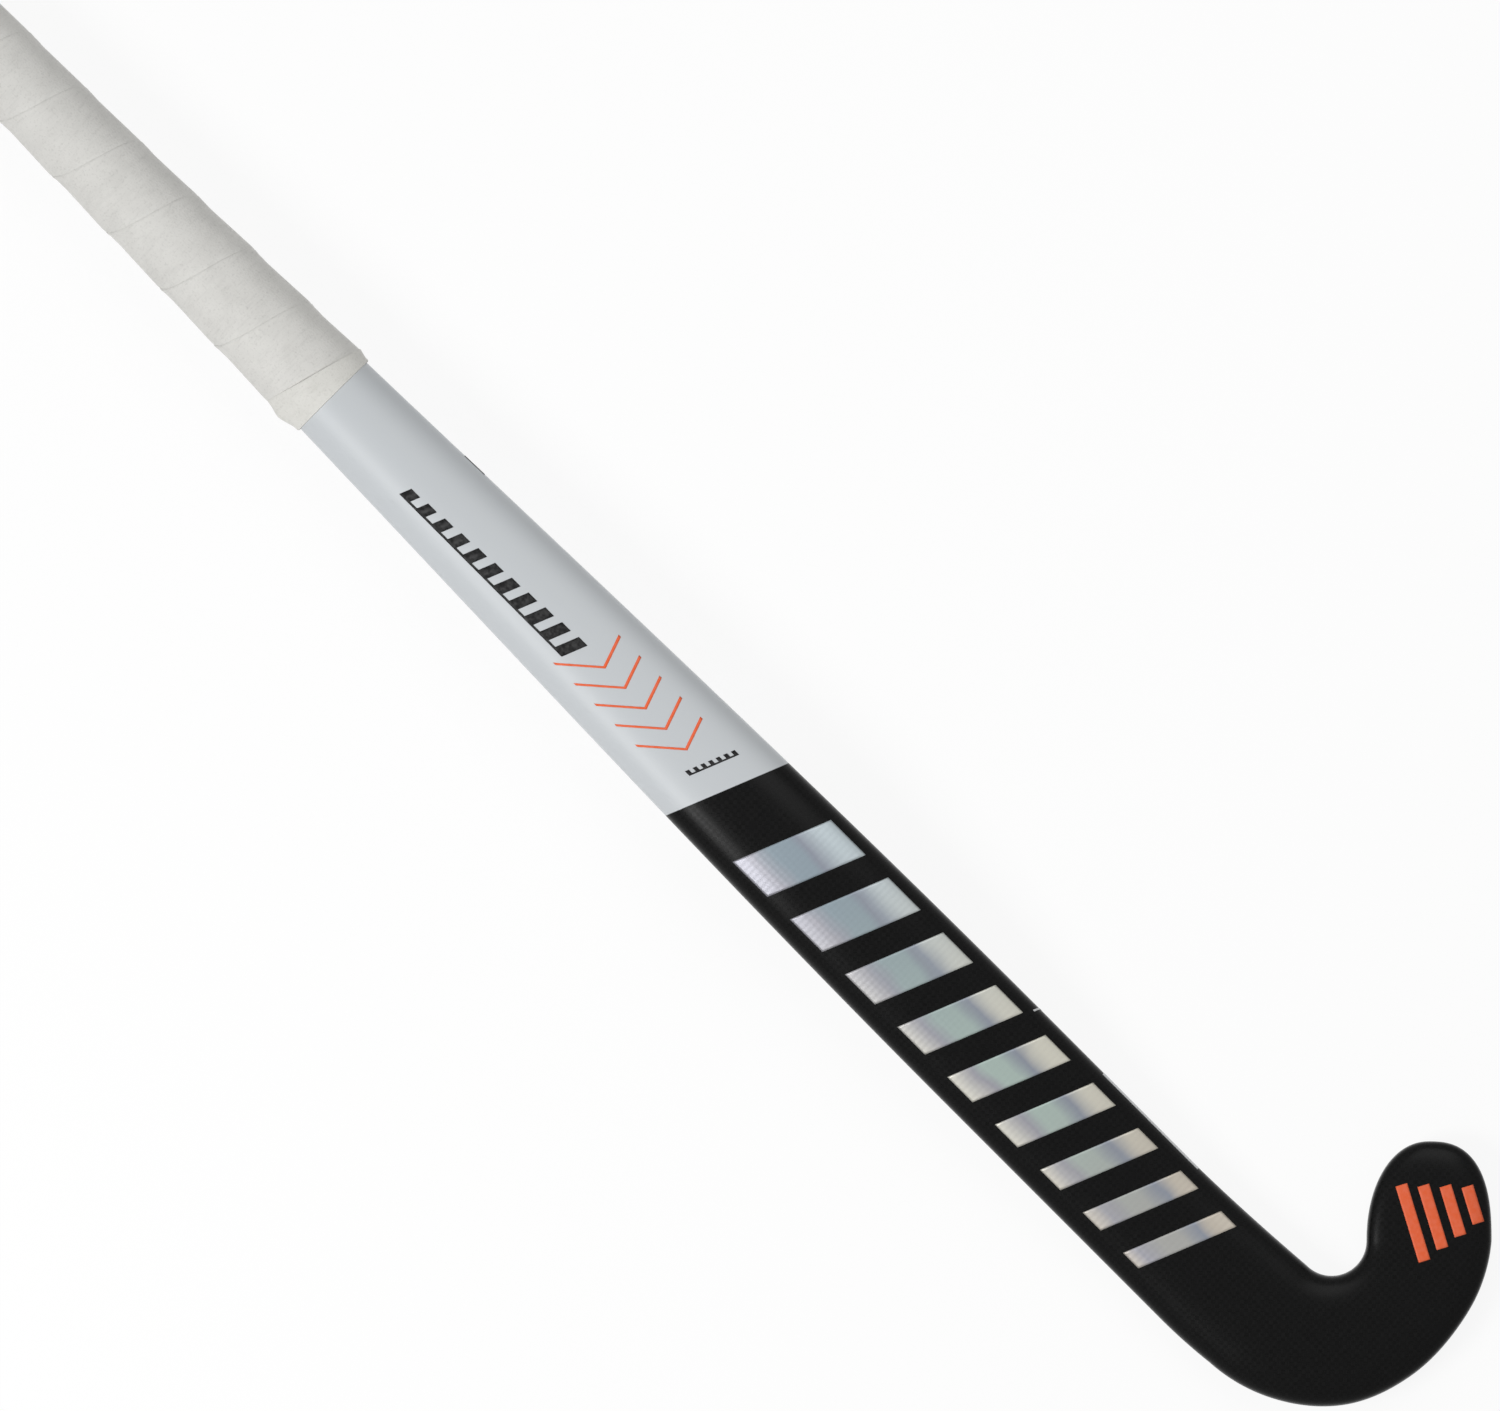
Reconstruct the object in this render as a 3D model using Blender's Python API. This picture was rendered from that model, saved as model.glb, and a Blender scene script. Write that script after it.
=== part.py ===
"""Indoor hockey stick, in metres, lying on its flat playing face.

The stick is one hollow carbon moulding: a hooked head, a shaft that narrows towards the hand
and an oval handle with a wound grip. It lies along X, with the head at +X, the hook turned to
+Y and the rounded back up. The origin is on the flat face, on the shaft's centre line.

Places on the stick are given in plan as (side, along). side runs from the shaft's centre line
towards the hook, and along runs from the end of the head towards the hand. A section is a D:
flat below, rounded above, widest at its equator. Everything that lines the stick, inside or
outside, is the same surface set in or out by an inset.
"""

import math
from typing import NamedTuple

import bmesh
import bpy
import numpy as np

# The whole stick
STICK_LENGTH = 0.925
FACE_POINT = 0.060  # the origin, from the end of the head

# Shaft and handle, seen from the back
BLADE_WIDTH = 0.0486
HANDLE_WIDTH = 0.0272
TAPER_START = 0.190
TAPER_END = 0.735

# Thickness, from the flat face to the back
TOE_THICKNESS = 0.0170
BLADE_THICKNESS = 0.0195
HANDLE_THICKNESS = 0.0248
THICKEN_START = 0.100
THICKEN_END = 0.500

# The section turns from a D at the blade to an oval at the handle
FACE_CORNER = 0.0065  # how far the corner beside the flat face reaches in
FACE_STRIP = 0.0015  # half of the narrow flat that is left under the handle
BLADE_EQUATOR = 0.42  # height of the widest place, as a share of the thickness
HANDLE_EQUATOR = 0.50
BLADE_FULLNESS = 2.6  # exponent of the back's curve, 2 for an ellipse
HANDLE_FULLNESS = 2.0
OVAL_START = 0.330
OVAL_END = 0.520

# The bow: how far the flat face arches off the ground between the head and the butt
BOW_HEIGHT = 0.0170
BOW_START = 0.062
BOW_END = 0.330

# The head. Its breadths are measured outwards from the round of the hook, at shares of its turn
HOOK_SIDE = 0.0398
HOOK_RADIUS = 0.0127
HOOK_TURN = math.radians(135)
HEAD_BREADTHS = (
    (0.185, 0.0485),
    (0.370, 0.0471),
    (0.555, 0.0443),
    (0.740, 0.0430),
    (0.875, 0.0441),
    (1.000, 0.0455),
)
HEEL_EASE = 0.0014  # how far the heel's edge has drawn in beside the hook
HEEL_EASE_LENGTH = 0.024
FLARE_LENGTH = 0.060  # stretch over which the shaft's edge flares into the hook
FLARE_POWER = 1.7
TOE_LENGTH = 0.0363  # how far the toe reaches past the end of the turn
TOE_SQUARENESS = 2.6  # exponent of the toe's outer curve, 2 for an ellipse
TOE_INNER_SQUARENESS = 2.1  # and of its curve on the hook's side

# Shell and what it holds
WALL = 0.0030
CLEARANCE = 0.0003  # between pieces that touch
HEAD_CORE_END = 0.130
SIDE_CORE_END = 0.560
BRIDGE_THICKNESS = 0.0016
PLUG_LENGTH = 0.028

# Butt cap
CAP_THICKNESS = 0.0040
CAP_PROUD = 0.0030  # how far the flange stands out from the bare handle
CAP_EDGE = 0.0012  # radius of the flange's outer rim
SPIGOT_RADIUS = 0.0040
SPIGOT_LENGTH = 0.011
BORE_DEPTH = 0.0125

# Grip: a sticky underlay, then one long tape wound from the butt towards the head
UNDERLAY_THICKNESS = 0.0003
UNDERLAY_SHORT = 0.0022  # how far the underlay stops before the tape's slanted cut
TAPE_THICKNESS = 0.0009
TAPE_EDGE = 0.00045  # thickness of the tape's thinned edges
TAPE_PITCH = 0.0284
TAPE_LAP = 0.0040  # how far a turn lies over the turn before it
LAP_RUN = 0.0024  # length of the ramp with which a turn climbs onto the last one
LAP_LEAD = 0.0008  # how far before the covered edge the ramp ends
LAP_CLEARANCE = 0.0006
CLIMB_START = 0.85  # the turn on which the tape begins to climb onto itself
CLIMB_TURNS = 0.12
RAMP_ROOM = (0.55, 0.80)  # shares of a narrowed tape before which the ramp's knots never lie
RAMP_REST = 0.95
TAPE_TONGUE = 0.006  # width of the tape at its cut ends
TAPE_HEEL_EDGE = 0.5739  # where an upper edge of the tape crosses the heel side
CUT_MIDDLE = 0.5406  # the slanted cut that ends the grip
CUT_SLANT = 0.0052
POINTS_PER_TURN = 24

# Finishing band, stretched from the end of the grip onto the shaft
BAND_WIDTH = 0.0106  # from the middle of the slanted cut to the band's lower edge
BAND_EDGE = 0.0010
BAND_SWELL = 0.0020  # the lump of the grip's end under the band, on the heel side
BAND_HOOK_SWELL = 0.0009
BAND_SWELL_AT = 0.009
BAND_SWELL_WIDTH = 0.005
BAND_ROWS = 6

# Transfers on the back, all leaning the same way across the shaft
FILM = 0.00025
LEAN = 0.40  # how far towards the head a line moves for each unit towards the hook
FOIL_COUNT = 9
FOIL_TOP = 0.301
FOIL_BOTTOM = 0.092
FOIL_WIDEST = 0.018
FOIL_NARROWEST = 0.008
FOIL_HEEL_SIDE = -0.017
FOIL_HOOK_SIDE = 0.019
CHEVRON_COUNT = 5
CHEVRON_START = 0.348
CHEVRON_PITCH = 0.0105
CHEVRON_REACH = 0.0120
CHEVRON_RISE = 0.0090
CHEVRON_LINE = 0.0012
DASH_COUNT = 11
DASH_START = 0.401
DASH_PITCH = 0.0079
DASH_WIDTH = 0.0045
DASH_LONGEST = 0.0095
DASH_SHORTEST = 0.0045
DASH_FOOT = -0.0083
DASH_LINE = 0.0009
TICK_COUNT = 7
TICK_ALONG = 0.3385
TICK_SIDE = -0.0060
TICK_PITCH = 0.0028
TICK_WIDTH = 0.0014
TICK_HEIGHT = 0.0024
TICK_LINE = 0.0007
TOE_BAR_COUNT = 4
TOE_BAR_PLACE = (0.0754, 0.0346)  # middle of the stack, as side and along
TOE_BAR_TURN = math.radians(62)
TOE_BAR_PITCH = 0.0076
TOE_BAR_WIDTH = 0.0044
TOE_BAR_LONGEST = 0.0290
TOE_BAR_SHORTEST = 0.0140
EDGE_BAR_WHITE = (0.109, 0.158)
EDGE_MARK = (0.1885, 0.1925)
EDGE_BAR_DARK = (0.471, 0.481)
EDGE_LOW = math.radians(-35)
EDGE_HIGH = math.radians(28)

# Mesh steps
BACK_STEPS = 12
CORNER_STEPS = 4
SHAFT_STEPS = ((0.116, 4), (0.330, 9), (0.560, 7), (0.735, 4), (1.0, 3))
HOOK_STEPS = 12
HOOK_SAMPLES = 271
TOE_STEPS = 8
CAP_EDGE_STEPS = 3
FOIL_SIDE_STEPS = 6
FOIL_LONG_STEPS = 2
CHEVRON_POINTS = 9
TOE_BAR_POINTS = 7
EDGE_POINTS = 5
GAP_SAMPLES = 12
SHARP = math.radians(35)  # faces that meet more sharply than this keep a crisp edge
MERGE = 1e-6
NEAR_ZERO = 1e-9

SHELL_END = STICK_LENGTH - CAP_THICKNESS - CLEARANCE
LINING = WALL + CLEARANCE
UNDERLAY_TOP = CLEARANCE + UNDERLAY_THICKNESS
TAPE_SEAT = UNDERLAY_TOP + CLEARANCE
UNDERLAY_END = CUT_MIDDLE + CUT_SLANT + UNDERLAY_SHORT
BAND_END = CUT_MIDDLE - BAND_WIDTH
TAPE_WIDTH = TAPE_PITCH + TAPE_LAP
RAMP_END = TAPE_PITCH - LAP_LEAD
RAMP_START = RAMP_END - LAP_RUN

CARBON = ("carbon", (0.030, 0.031, 0.033), 0.32, 0.0)
BRIDGE_CARBON = ("bridge_carbon", (0.040, 0.040, 0.042), 0.55, 0.0)
FOAM = ("foam", (0.80, 0.74, 0.56), 0.90, 0.0)
HANDLE_FOAM = ("handle_foam", (0.62, 0.64, 0.66), 0.90, 0.0)
PLUG_PLASTIC = ("plug_plastic", (0.10, 0.10, 0.11), 0.50, 0.0)
CAP_RUBBER = ("cap_rubber", (0.74, 0.74, 0.71), 0.60, 0.0)
UNDERLAY_FILM = ("underlay_film", (0.86, 0.85, 0.80), 0.60, 0.0)
GRIP_TAPE = ("grip_tape", (0.66, 0.66, 0.63), 0.55, 0.0)
BAND_TAPE = ("band_tape", (0.62, 0.61, 0.55), 0.60, 0.0)
FOIL = ("silver_foil", (0.55, 0.56, 0.60), 0.25, 1.0)
ORANGE = ("orange_print", (0.80, 0.13, 0.05), 0.40, 0.0)
BLACK = ("black_print", (0.015, 0.015, 0.017), 0.40, 0.0)
WHITE = ("white_print", (0.75, 0.76, 0.77), 0.40, 0.0)


def ease(share):
    """Rises smoothly from 0 to 1 while share goes from 0 to 1."""
    share = np.clip(share, 0.0, 1.0)
    return share * share * (3.0 - 2.0 * share)


def blend(low, high, share):
    return low + (high - low) * share


def through(places, values, at):
    """A smooth curve through the given values: cubic pieces with averaged slopes."""
    places = np.asarray(places)
    values = np.asarray(values)
    slopes = np.gradient(values, places)
    piece = np.clip(np.searchsorted(places, at) - 1, 0, len(places) - 2)
    span = places[piece + 1] - places[piece]
    t = (at - places[piece]) / span
    start = values[piece] * (2 * t**3 - 3 * t**2 + 1) + values[piece + 1] * (3 * t**2 - 2 * t**3)
    lean = slopes[piece] * (t**3 - 2 * t**2 + t) + slopes[piece + 1] * (t**3 - t**2)
    return start + lean * span


def outer_radius(share):
    """The head's outer edge, from the centre of the hook, at a share of the hook's turn."""
    first = HOOK_SIDE - HOOK_RADIUS + BLADE_WIDTH / 2 - HEEL_EASE
    keys = ((0.0, first),) + HEAD_BREADTHS
    return HOOK_RADIUS + through([key[0] for key in keys], [key[1] for key in keys], share)


def hook_height():
    """How far the centre of the hook lies from the end of the head."""
    share = np.linspace(0.0, 1.0, HOOK_SAMPLES)
    return float(np.max(outer_radius(share) * np.sin(share * HOOK_TURN)))


HOOK_ALONG = hook_height()


def bow(along):
    """Height of the flat face: level at the head, arched along the shaft, straight at the hand."""
    fall = BOW_HEIGHT / (STICK_LENGTH - BOW_END)
    straight = CAP_PROUD + fall * (STICK_LENGTH - along)
    run = BOW_END - BOW_START
    share = np.clip((along - BOW_START) / run, 0.0, 1.0)
    arch = (BOW_HEIGHT + CAP_PROUD) * ease(share) + fall * run * (share**2 - share**3)
    return np.where(along > BOW_END, straight, arch)


def shaft_half_width(along):
    share = ease((along - TAPER_START) / (TAPER_END - TAPER_START))
    return blend(BLADE_WIDTH, HANDLE_WIDTH, share) / 2


def shaft_edges(along):
    """Side of the heel's edge and of the hook's edge of the shaft."""
    half = shaft_half_width(along)
    above = along - HOOK_ALONG
    drawn = np.clip(1 - above / HEEL_EASE_LENGTH, 0.0, 1.0) ** 2
    flared = np.clip(1 - above / FLARE_LENGTH, 0.0, 1.0) ** FLARE_POWER
    heel = -half + HEEL_EASE * drawn
    hook = half + (HOOK_SIDE - HOOK_RADIUS - BLADE_WIDTH / 2) * flared
    return heel, hook


def shaft_thickness(along):
    share = ease((along - THICKEN_START) / (THICKEN_END - THICKEN_START))
    return blend(BLADE_THICKNESS, HANDLE_THICKNESS, share)


def section(half, thick, along, inset, cos, sin, hand):
    """Offset across and height of points on a section, set in by inset.

    Above the equator the outline is a superellipse. Below it, a quarter ellipse on each hand
    runs into the flat strip. cos and sin are of the angle round the section, from the hook's
    side over the back, and hand is +1 on the hook's side, -1 on the heel's and 0 in the middle.
    """
    oval = ease((along - OVAL_START) / (OVAL_END - OVAL_START))
    equator = thick * blend(BLADE_EQUATOR, HANDLE_EQUATOR, oval)
    power = 2 / blend(BLADE_FULLNESS, HANDLE_FULLNESS, oval)
    strip = blend(half - FACE_CORNER, FACE_STRIP, oval)
    back = (half - inset) * hand * np.abs(cos) ** power
    face = hand * strip + (half - inset - strip) * cos
    rise = (thick - inset - equator) * np.abs(sin) ** power
    drop = (equator - inset) * sin
    return np.where(sin >= 0, back, face), equator + np.where(sin >= 0, rise, drop)


def ring_table():
    """Cosine, sine and hand of the points round a section, starting on the hook's side."""
    back = np.linspace(0.0, math.pi, BACK_STEPS + 1)
    corner = np.linspace(0.0, math.pi / 2, CORNER_STEPS + 1)
    cos = np.concatenate([np.cos(back), -np.cos(corner[1:]), [0.0], np.sin(corner[:-1])])
    sin = np.concatenate([np.sin(back), -np.sin(corner[1:]), [-1.0], -np.cos(corner[:-1])])
    back_hand = np.where(np.abs(np.cos(back)) < NEAR_ZERO, 0.0, np.sign(np.cos(back)))
    hand = np.concatenate([back_hand, -np.ones(CORNER_STEPS), [0.0], np.ones(CORNER_STEPS)])
    return cos, np.where(np.abs(sin) < NEAR_ZERO, 0.0, sin), hand


RING = ring_table()


class Stations(NamedTuple):
    """Cross-sections along the stick, one row each."""

    middle: np.ndarray  # plan place of the section's middle
    across: np.ndarray  # plan direction towards the hook
    half: np.ndarray
    thick: np.ndarray
    fold: np.ndarray  # a right angle where the section is straight, 0 where the toe closes


def shaft_stations(start, end):
    """Straight sections from one place along the shaft to another, on shared steps."""
    marks = [HOOK_ALONG]
    for limit, count in SHAFT_STEPS:
        marks.extend(np.linspace(marks[-1], min(limit, SHELL_END), count + 1)[1:])
    marks = np.array(marks)
    between = marks[(marks > start + CLEARANCE) & (marks < end - CLEARANCE)]
    along = np.concatenate([[start], between, [end]])
    heel, hook = shaft_edges(along)
    middle = np.stack([(heel + hook) / 2, along], axis=-1)
    across = np.tile([1.0, 0.0], (len(along), 1))
    upright = np.full(len(along), math.pi / 2)
    return Stations(middle, across, (hook - heel) / 2, shaft_thickness(along), upright)


def head_stations():
    """Sections that fan round the hook, then fold forward until the toe closes."""
    share = np.linspace(0.0, 1.0, HOOK_STEPS + 1)[1:]
    share = np.concatenate([share, np.ones(TOE_STEPS)])
    closing = np.linspace(math.pi / 2, 0.0, TOE_STEPS + 1)[1:]
    fold = np.concatenate([np.full(HOOK_STEPS, math.pi / 2), closing])
    turn = share * HOOK_TURN
    across = np.stack([np.cos(turn), np.sin(turn)], axis=-1)
    reach = (outer_radius(share) + HOOK_RADIUS) / 2
    middle = np.array([HOOK_SIDE, HOOK_ALONG]) - across * reach[:, None]
    half = (outer_radius(share) - HOOK_RADIUS) / 2
    return Stations(middle, across, half, blend(BLADE_THICKNESS, TOE_THICKNESS, ease(share)), fold)


def joined(first, second):
    return Stations(*(np.concatenate(pair) for pair in zip(first, second)))


def reversed_rows(stations):
    return Stations(*(rows[::-1] for rows in stations))


def place(side, along, height):
    """Points in the model's frame from plan places and heights above the flat face."""
    return np.stack([FACE_POINT - along, side + 0 * along, height + bow(along)], axis=-1)


def laid_out(stations, inset, offset, height):
    """Carries offsets across each section into plan, folding them forward in the toe."""
    half = (stations.half - inset)[:, None]
    power = 2 / np.where(offset > 0, TOE_INNER_SQUARENESS, TOE_SQUARENESS)
    spread = np.sin(stations.fold)[:, None] ** power
    reach = (TOE_LENGTH - inset) * np.cos(stations.fold)[:, None] ** power
    across = stations.across[:, None, :]
    forward = np.stack([across[..., 1], -across[..., 0]], axis=-1)
    forward_by = np.where(stations.fold[:, None] < math.pi / 2, reach * np.abs(offset) / half, 0.0)
    plan = stations.middle[:, None, :] + across * (offset * spread)[..., None]
    plan = plan + forward * forward_by[..., None]
    return place(plan[..., 0], plan[..., 1], height)


def skin(stations, inset=0.0, table=RING):
    """Rings of points on the stick's surface, set in by inset, or out where it is negative."""
    along = stations.middle[:, 1:2]
    offset, height = section(stations.half[:, None], stations.thick[:, None], along, inset, *table)
    return laid_out(stations, inset, offset, height)


def back_height(half, thick, along, inset, offset):
    """Height of the rounded back at an offset from the section's middle."""
    oval = ease((along - OVAL_START) / (OVAL_END - OVAL_START))
    equator = thick * blend(BLADE_EQUATOR, HANDLE_EQUATOR, oval)
    fullness = blend(BLADE_FULLNESS, HANDLE_FULLNESS, oval)
    share = np.clip(np.abs(offset) / (half - inset), 0.0, 1.0)
    return equator + (thick - inset - equator) * (1 - share**fullness) ** (1 / fullness)


def draped(side, along, inset):
    """Points on the back above plan places, anywhere on the shaft, round the hook or on the toe."""
    from_hook = side - HOOK_SIDE
    above = along - HOOK_ALONG
    turn = np.arctan2(-above, -from_hook)
    forward = from_hook * math.sin(HOOK_TURN) - above * math.cos(HOOK_TURN)
    on_shaft = (above >= 0) & (from_hook < 0)
    on_toe = ~on_shaft & (forward > 0) & (from_hook > 0)
    share = np.clip(np.where(on_toe, 1.0, turn / HOOK_TURN), 0.0, 1.0)
    heel, hook = shaft_edges(along)
    half = np.where(on_shaft, (hook - heel) / 2, (outer_radius(share) - HOOK_RADIUS) / 2)
    middle = np.where(on_shaft, (hook + heel) / 2, (outer_radius(share) + HOOK_RADIUS) / 2)
    toe_radius = -from_hook * math.cos(HOOK_TURN) - above * math.sin(HOOK_TURN)
    radius = np.where(on_toe, toe_radius, np.hypot(from_hook, above))
    offset = np.abs(np.where(on_shaft, side, radius) - middle)
    bent = np.clip(forward, 0.0, None) / (TOE_LENGTH - inset)
    power = np.where(radius < middle, TOE_INNER_SQUARENESS, TOE_SQUARENESS)
    folded = ((offset / (half - inset)) ** power + bent**power) ** (1 / power)
    offset = np.where(on_toe, (half - inset) * folded, offset)
    head_thick = blend(BLADE_THICKNESS, TOE_THICKNESS, ease(share))
    thick = np.where(on_shaft, shaft_thickness(along), head_thick)
    return place(side, along, back_height(half, thick, along, inset, offset))


def material(finish):
    """A plain surface of the piece's own colour, roughness and metallic value."""
    name, colour, roughness, metallic = finish
    found = bpy.data.materials.get(name)
    if found:
        return found
    made = bpy.data.materials.new(name)
    made.use_nodes = True
    shader = made.node_tree.nodes["Principled BSDF"]
    shader.inputs["Base Color"].default_value = (*colour, 1.0)
    shader.inputs["Roughness"].default_value = roughness
    shader.inputs["Metallic"].default_value = metallic
    made.diffuse_color = (*colour, 1.0)
    return made


def add_object(name, mesh, finish):
    data = bpy.data.meshes.new(name)
    mesh.to_mesh(data)
    mesh.free()
    data.materials.append(material(finish))
    data.shade_smooth()
    data.set_sharp_from_angle(angle=SHARP)
    piece = bpy.data.objects.new(name, data)
    bpy.context.scene.collection.objects.link(piece)
    return piece


def loft(name, rings, finish, cap_start=False, cap_end=False, close=False):
    """Skins a run of rings. Caps fill its ends, and close joins its last ring to its first."""
    mesh = bmesh.new()
    rows = [[mesh.verts.new(point) for point in ring] for ring in rings]
    pairs = list(zip(rows, rows[1:]))
    if close:
        pairs.append((rows[-1], rows[0]))
    for low, high in pairs:
        for k in range(len(low)):
            mesh.faces.new((low[k - 1], low[k], high[k], high[k - 1]))
    if cap_start:
        mesh.faces.new(rows[0])
    if cap_end:
        mesh.faces.new(rows[-1])
    bmesh.ops.remove_doubles(mesh, verts=mesh.verts, dist=MERGE)
    bmesh.ops.recalc_face_normals(mesh, faces=mesh.faces)
    return add_object(name, mesh, finish)


def film(name, points, faces, finish):
    """A thin transfer: a sheet thickened outwards. Its faces name points by row and column."""
    mesh = bmesh.new()
    used = {}
    for face in faces:
        for corner in face:
            if corner not in used:
                used[corner] = mesh.verts.new(points[corner])
        mesh.faces.new([used[corner] for corner in face])
    piece = add_object(name, mesh, finish)
    solidify = piece.modifiers.new("film", "SOLIDIFY")
    solidify.thickness = FILM
    solidify.offset = 1.0
    solidify.use_even_offset = True


def all_faces(points):
    """The faces of a whole grid whose rows run to the head and whose columns run to the hook."""
    faces = []
    for r in range(points.shape[0] - 1):
        for c in range(points.shape[1] - 1):
            faces.append(((r, c), (r + 1, c), (r + 1, c + 1), (r, c + 1)))
    return faces


def round_ring(radius, along):
    """A circle round the handle's middle, with one point for each point of a section's ring."""
    angle = np.arctan2(RING[1], RING[0])
    height = shaft_thickness(along) * HANDLE_EQUATOR + radius * np.sin(angle)
    return place(radius * np.cos(angle), np.full(len(angle), along), height)


def carbon_shell():
    """The moulded laminate: one skin outside and one inside, joined round the open butt end."""
    stations = joined(reversed_rows(shaft_stations(HOOK_ALONG, SHELL_END)), head_stations())
    outer = skin(stations)
    inner = skin(stations, WALL)
    loft("carbon_shell", [*outer[::-1], *inner], CARBON)


def head_core():
    """Rigid foam that fills the head and the foot of the shaft."""
    stem = reversed_rows(shaft_stations(HOOK_ALONG, HEAD_CORE_END))
    rings = skin(joined(stem, head_stations()), LINING)
    loft("head_core", rings, FOAM, cap_start=True)


def centre_bridge(start, end):
    """The carbon rib that ties the face to the back along the middle of the shaft."""
    stations = shaft_stations(start, end)
    along = stations.middle[:, 1]
    half_rib = BRIDGE_THICKNESS / 2
    top = back_height(stations.half, stations.thick, along, LINING, half_rib)
    foot = np.full(len(along), LINING)
    offset = np.tile([half_rib, -half_rib, -half_rib, half_rib], (len(along), 1))
    height = np.stack([top, top, foot, foot], axis=-1)
    rings = laid_out(stations, LINING, offset, height)
    loft("centre_bridge", rings, BRIDGE_CARBON, cap_start=True, cap_end=True)


def side_core(name, hand, start, end):
    """Foam between the bridge and one side of the shell."""
    stations = shaft_stations(start, end)
    along = stations.middle[:, 1:2]
    half = stations.half[:, None]
    thick = stations.thick[:, None]
    offset, height = section(half, thick, along, LINING, *RING)
    wall = np.full_like(half, BRIDGE_THICKNESS / 2 + CLEARANCE)
    wall_top = back_height(half, thick, along, LINING, wall)
    quarter = BACK_STEPS // 2
    face = np.arange(len(RING[0]) - CORNER_STEPS, len(RING[0]))
    offset = np.hstack([offset[:, :quarter], wall, wall, offset[:, face]])
    height = np.hstack([height[:, :quarter], wall_top, np.full_like(half, LINING), height[:, face]])
    rings = laid_out(stations, LINING, offset * hand, height)
    loft(name, rings, FOAM, cap_start=True, cap_end=True)


def handle_core(start, end):
    """Softer foam that takes the sting out of the handle."""
    rings = skin(shaft_stations(start, end), LINING)
    loft("handle_core", rings, HANDLE_FOAM, cap_start=True, cap_end=True)


def butt_plug(start):
    """Moulded plug in the open end of the shell, bored for the cap's spigot."""
    walls = skin(shaft_stations(start, SHELL_END), LINING)
    bore = SPIGOT_RADIUS + CLEARANCE
    rings = [*walls, round_ring(bore, SHELL_END), round_ring(bore, SHELL_END - BORE_DEPTH)]
    loft("butt_plug", rings, PLUG_PLASTIC, cap_start=True, cap_end=True)


def butt_cap():
    """End cap: a spigot that presses into the plug and a flange with a rounded rim."""
    face = SHELL_END + CLEARANCE
    rings = [round_ring(SPIGOT_RADIUS, face - SPIGOT_LENGTH), round_ring(SPIGOT_RADIUS, face)]
    rim = [(face, 0.0)]
    for step in range(CAP_EDGE_STEPS + 1):
        angle = step / CAP_EDGE_STEPS * math.pi / 2
        back = STICK_LENGTH - CAP_EDGE * (1 - math.sin(angle))
        rim.append((back, CAP_EDGE * (1 - math.cos(angle))))
    for along, drawn_in in rim:
        rings.extend(skin(shaft_stations(along, along + CLEARANCE), drawn_in - CAP_PROUD)[:1])
    loft("butt_cap", rings, CAP_RUBBER, cap_start=True, cap_end=True)


def sleeve(name, stations, low, high, finish):
    """A tube round the handle between two distances from its surface."""
    rings = [*skin(stations, -high), *skin(reversed_rows(stations), -low)]
    loft(name, rings, finish, close=True)


def grip_cut(angle):
    """Where the slanted cut that ends the grip lies, at an angle round the handle."""
    return CUT_MIDDLE - CUT_SLANT * np.cos(angle)


def wound(angle, along, off):
    """Points off the handle's surface, at angles round it."""
    table = (np.cos(angle), np.sin(angle), np.sign(np.cos(angle)))
    half = shaft_half_width(along)
    offset, height = section(half, shaft_thickness(along), along, -off, *table)
    return place(offset, along, height)


def tape_course():
    """Angle and edges of the tape at each step of its winding, from the butt to its last end.

    The lower edge drops by one pitch a turn, the upper edge follows it a tape's width higher.
    Both are cut back where they would pass the butt or the slanted cut.
    """
    upper_start = SHELL_END - TAPE_TONGUE + TAPE_WIDTH
    turns_at_heel = (upper_start - TAPE_HEEL_EDGE) / TAPE_PITCH
    lowest = CUT_MIDDLE - CUT_SLANT
    steps = np.arange(int((upper_start - lowest) / TAPE_PITCH * POINTS_PER_TURN))
    turns = steps / POINTS_PER_TURN
    angle = math.pi + 2 * math.pi * (turns_at_heel - turns)
    lower = upper_start - TAPE_WIDTH - TAPE_PITCH * turns
    start = np.maximum(lower, grip_cut(angle))
    end = np.minimum(lower + TAPE_WIDTH, SHELL_END)
    going = end - start >= TAPE_TONGUE - MERGE
    return turns[going], angle[going], lower[going], start[going], end[going]


def tape_profile(across, climb):
    """Distance off the handle of the tape's under and upper side, at a place across the tape.

    climb is 0 on the first turn, which lies flat, and 1 where the tape's upper part lies over
    the turn before it.
    """
    onto_edge = TAPE_EDGE + LAP_CLEARANCE
    onto_tape = TAPE_THICKNESS + LAP_CLEARANCE
    lift = np.interp(across, [RAMP_START, RAMP_END, TAPE_WIDTH], [0.0, onto_edge, onto_tape])
    places = [0.0, TAPE_LAP, RAMP_START, TAPE_WIDTH]
    thick = np.interp(across, places, [TAPE_EDGE, TAPE_THICKNESS, TAPE_THICKNESS, TAPE_EDGE])
    under = TAPE_SEAT + climb * lift
    return under, under + thick


def tape_points(turns, angle, lower, start, end, across):
    """Under and upper points of the tape at the given places across its full width."""
    along = np.clip(lower[:, None] + across, start[:, None], end[:, None])
    climb = ease((turns - CLIMB_START) / CLIMB_TURNS)[:, None]
    under, upper = tape_profile(along - lower[:, None], climb)
    return wound(angle[:, None], along, under), wound(angle[:, None], along, upper)


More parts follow.
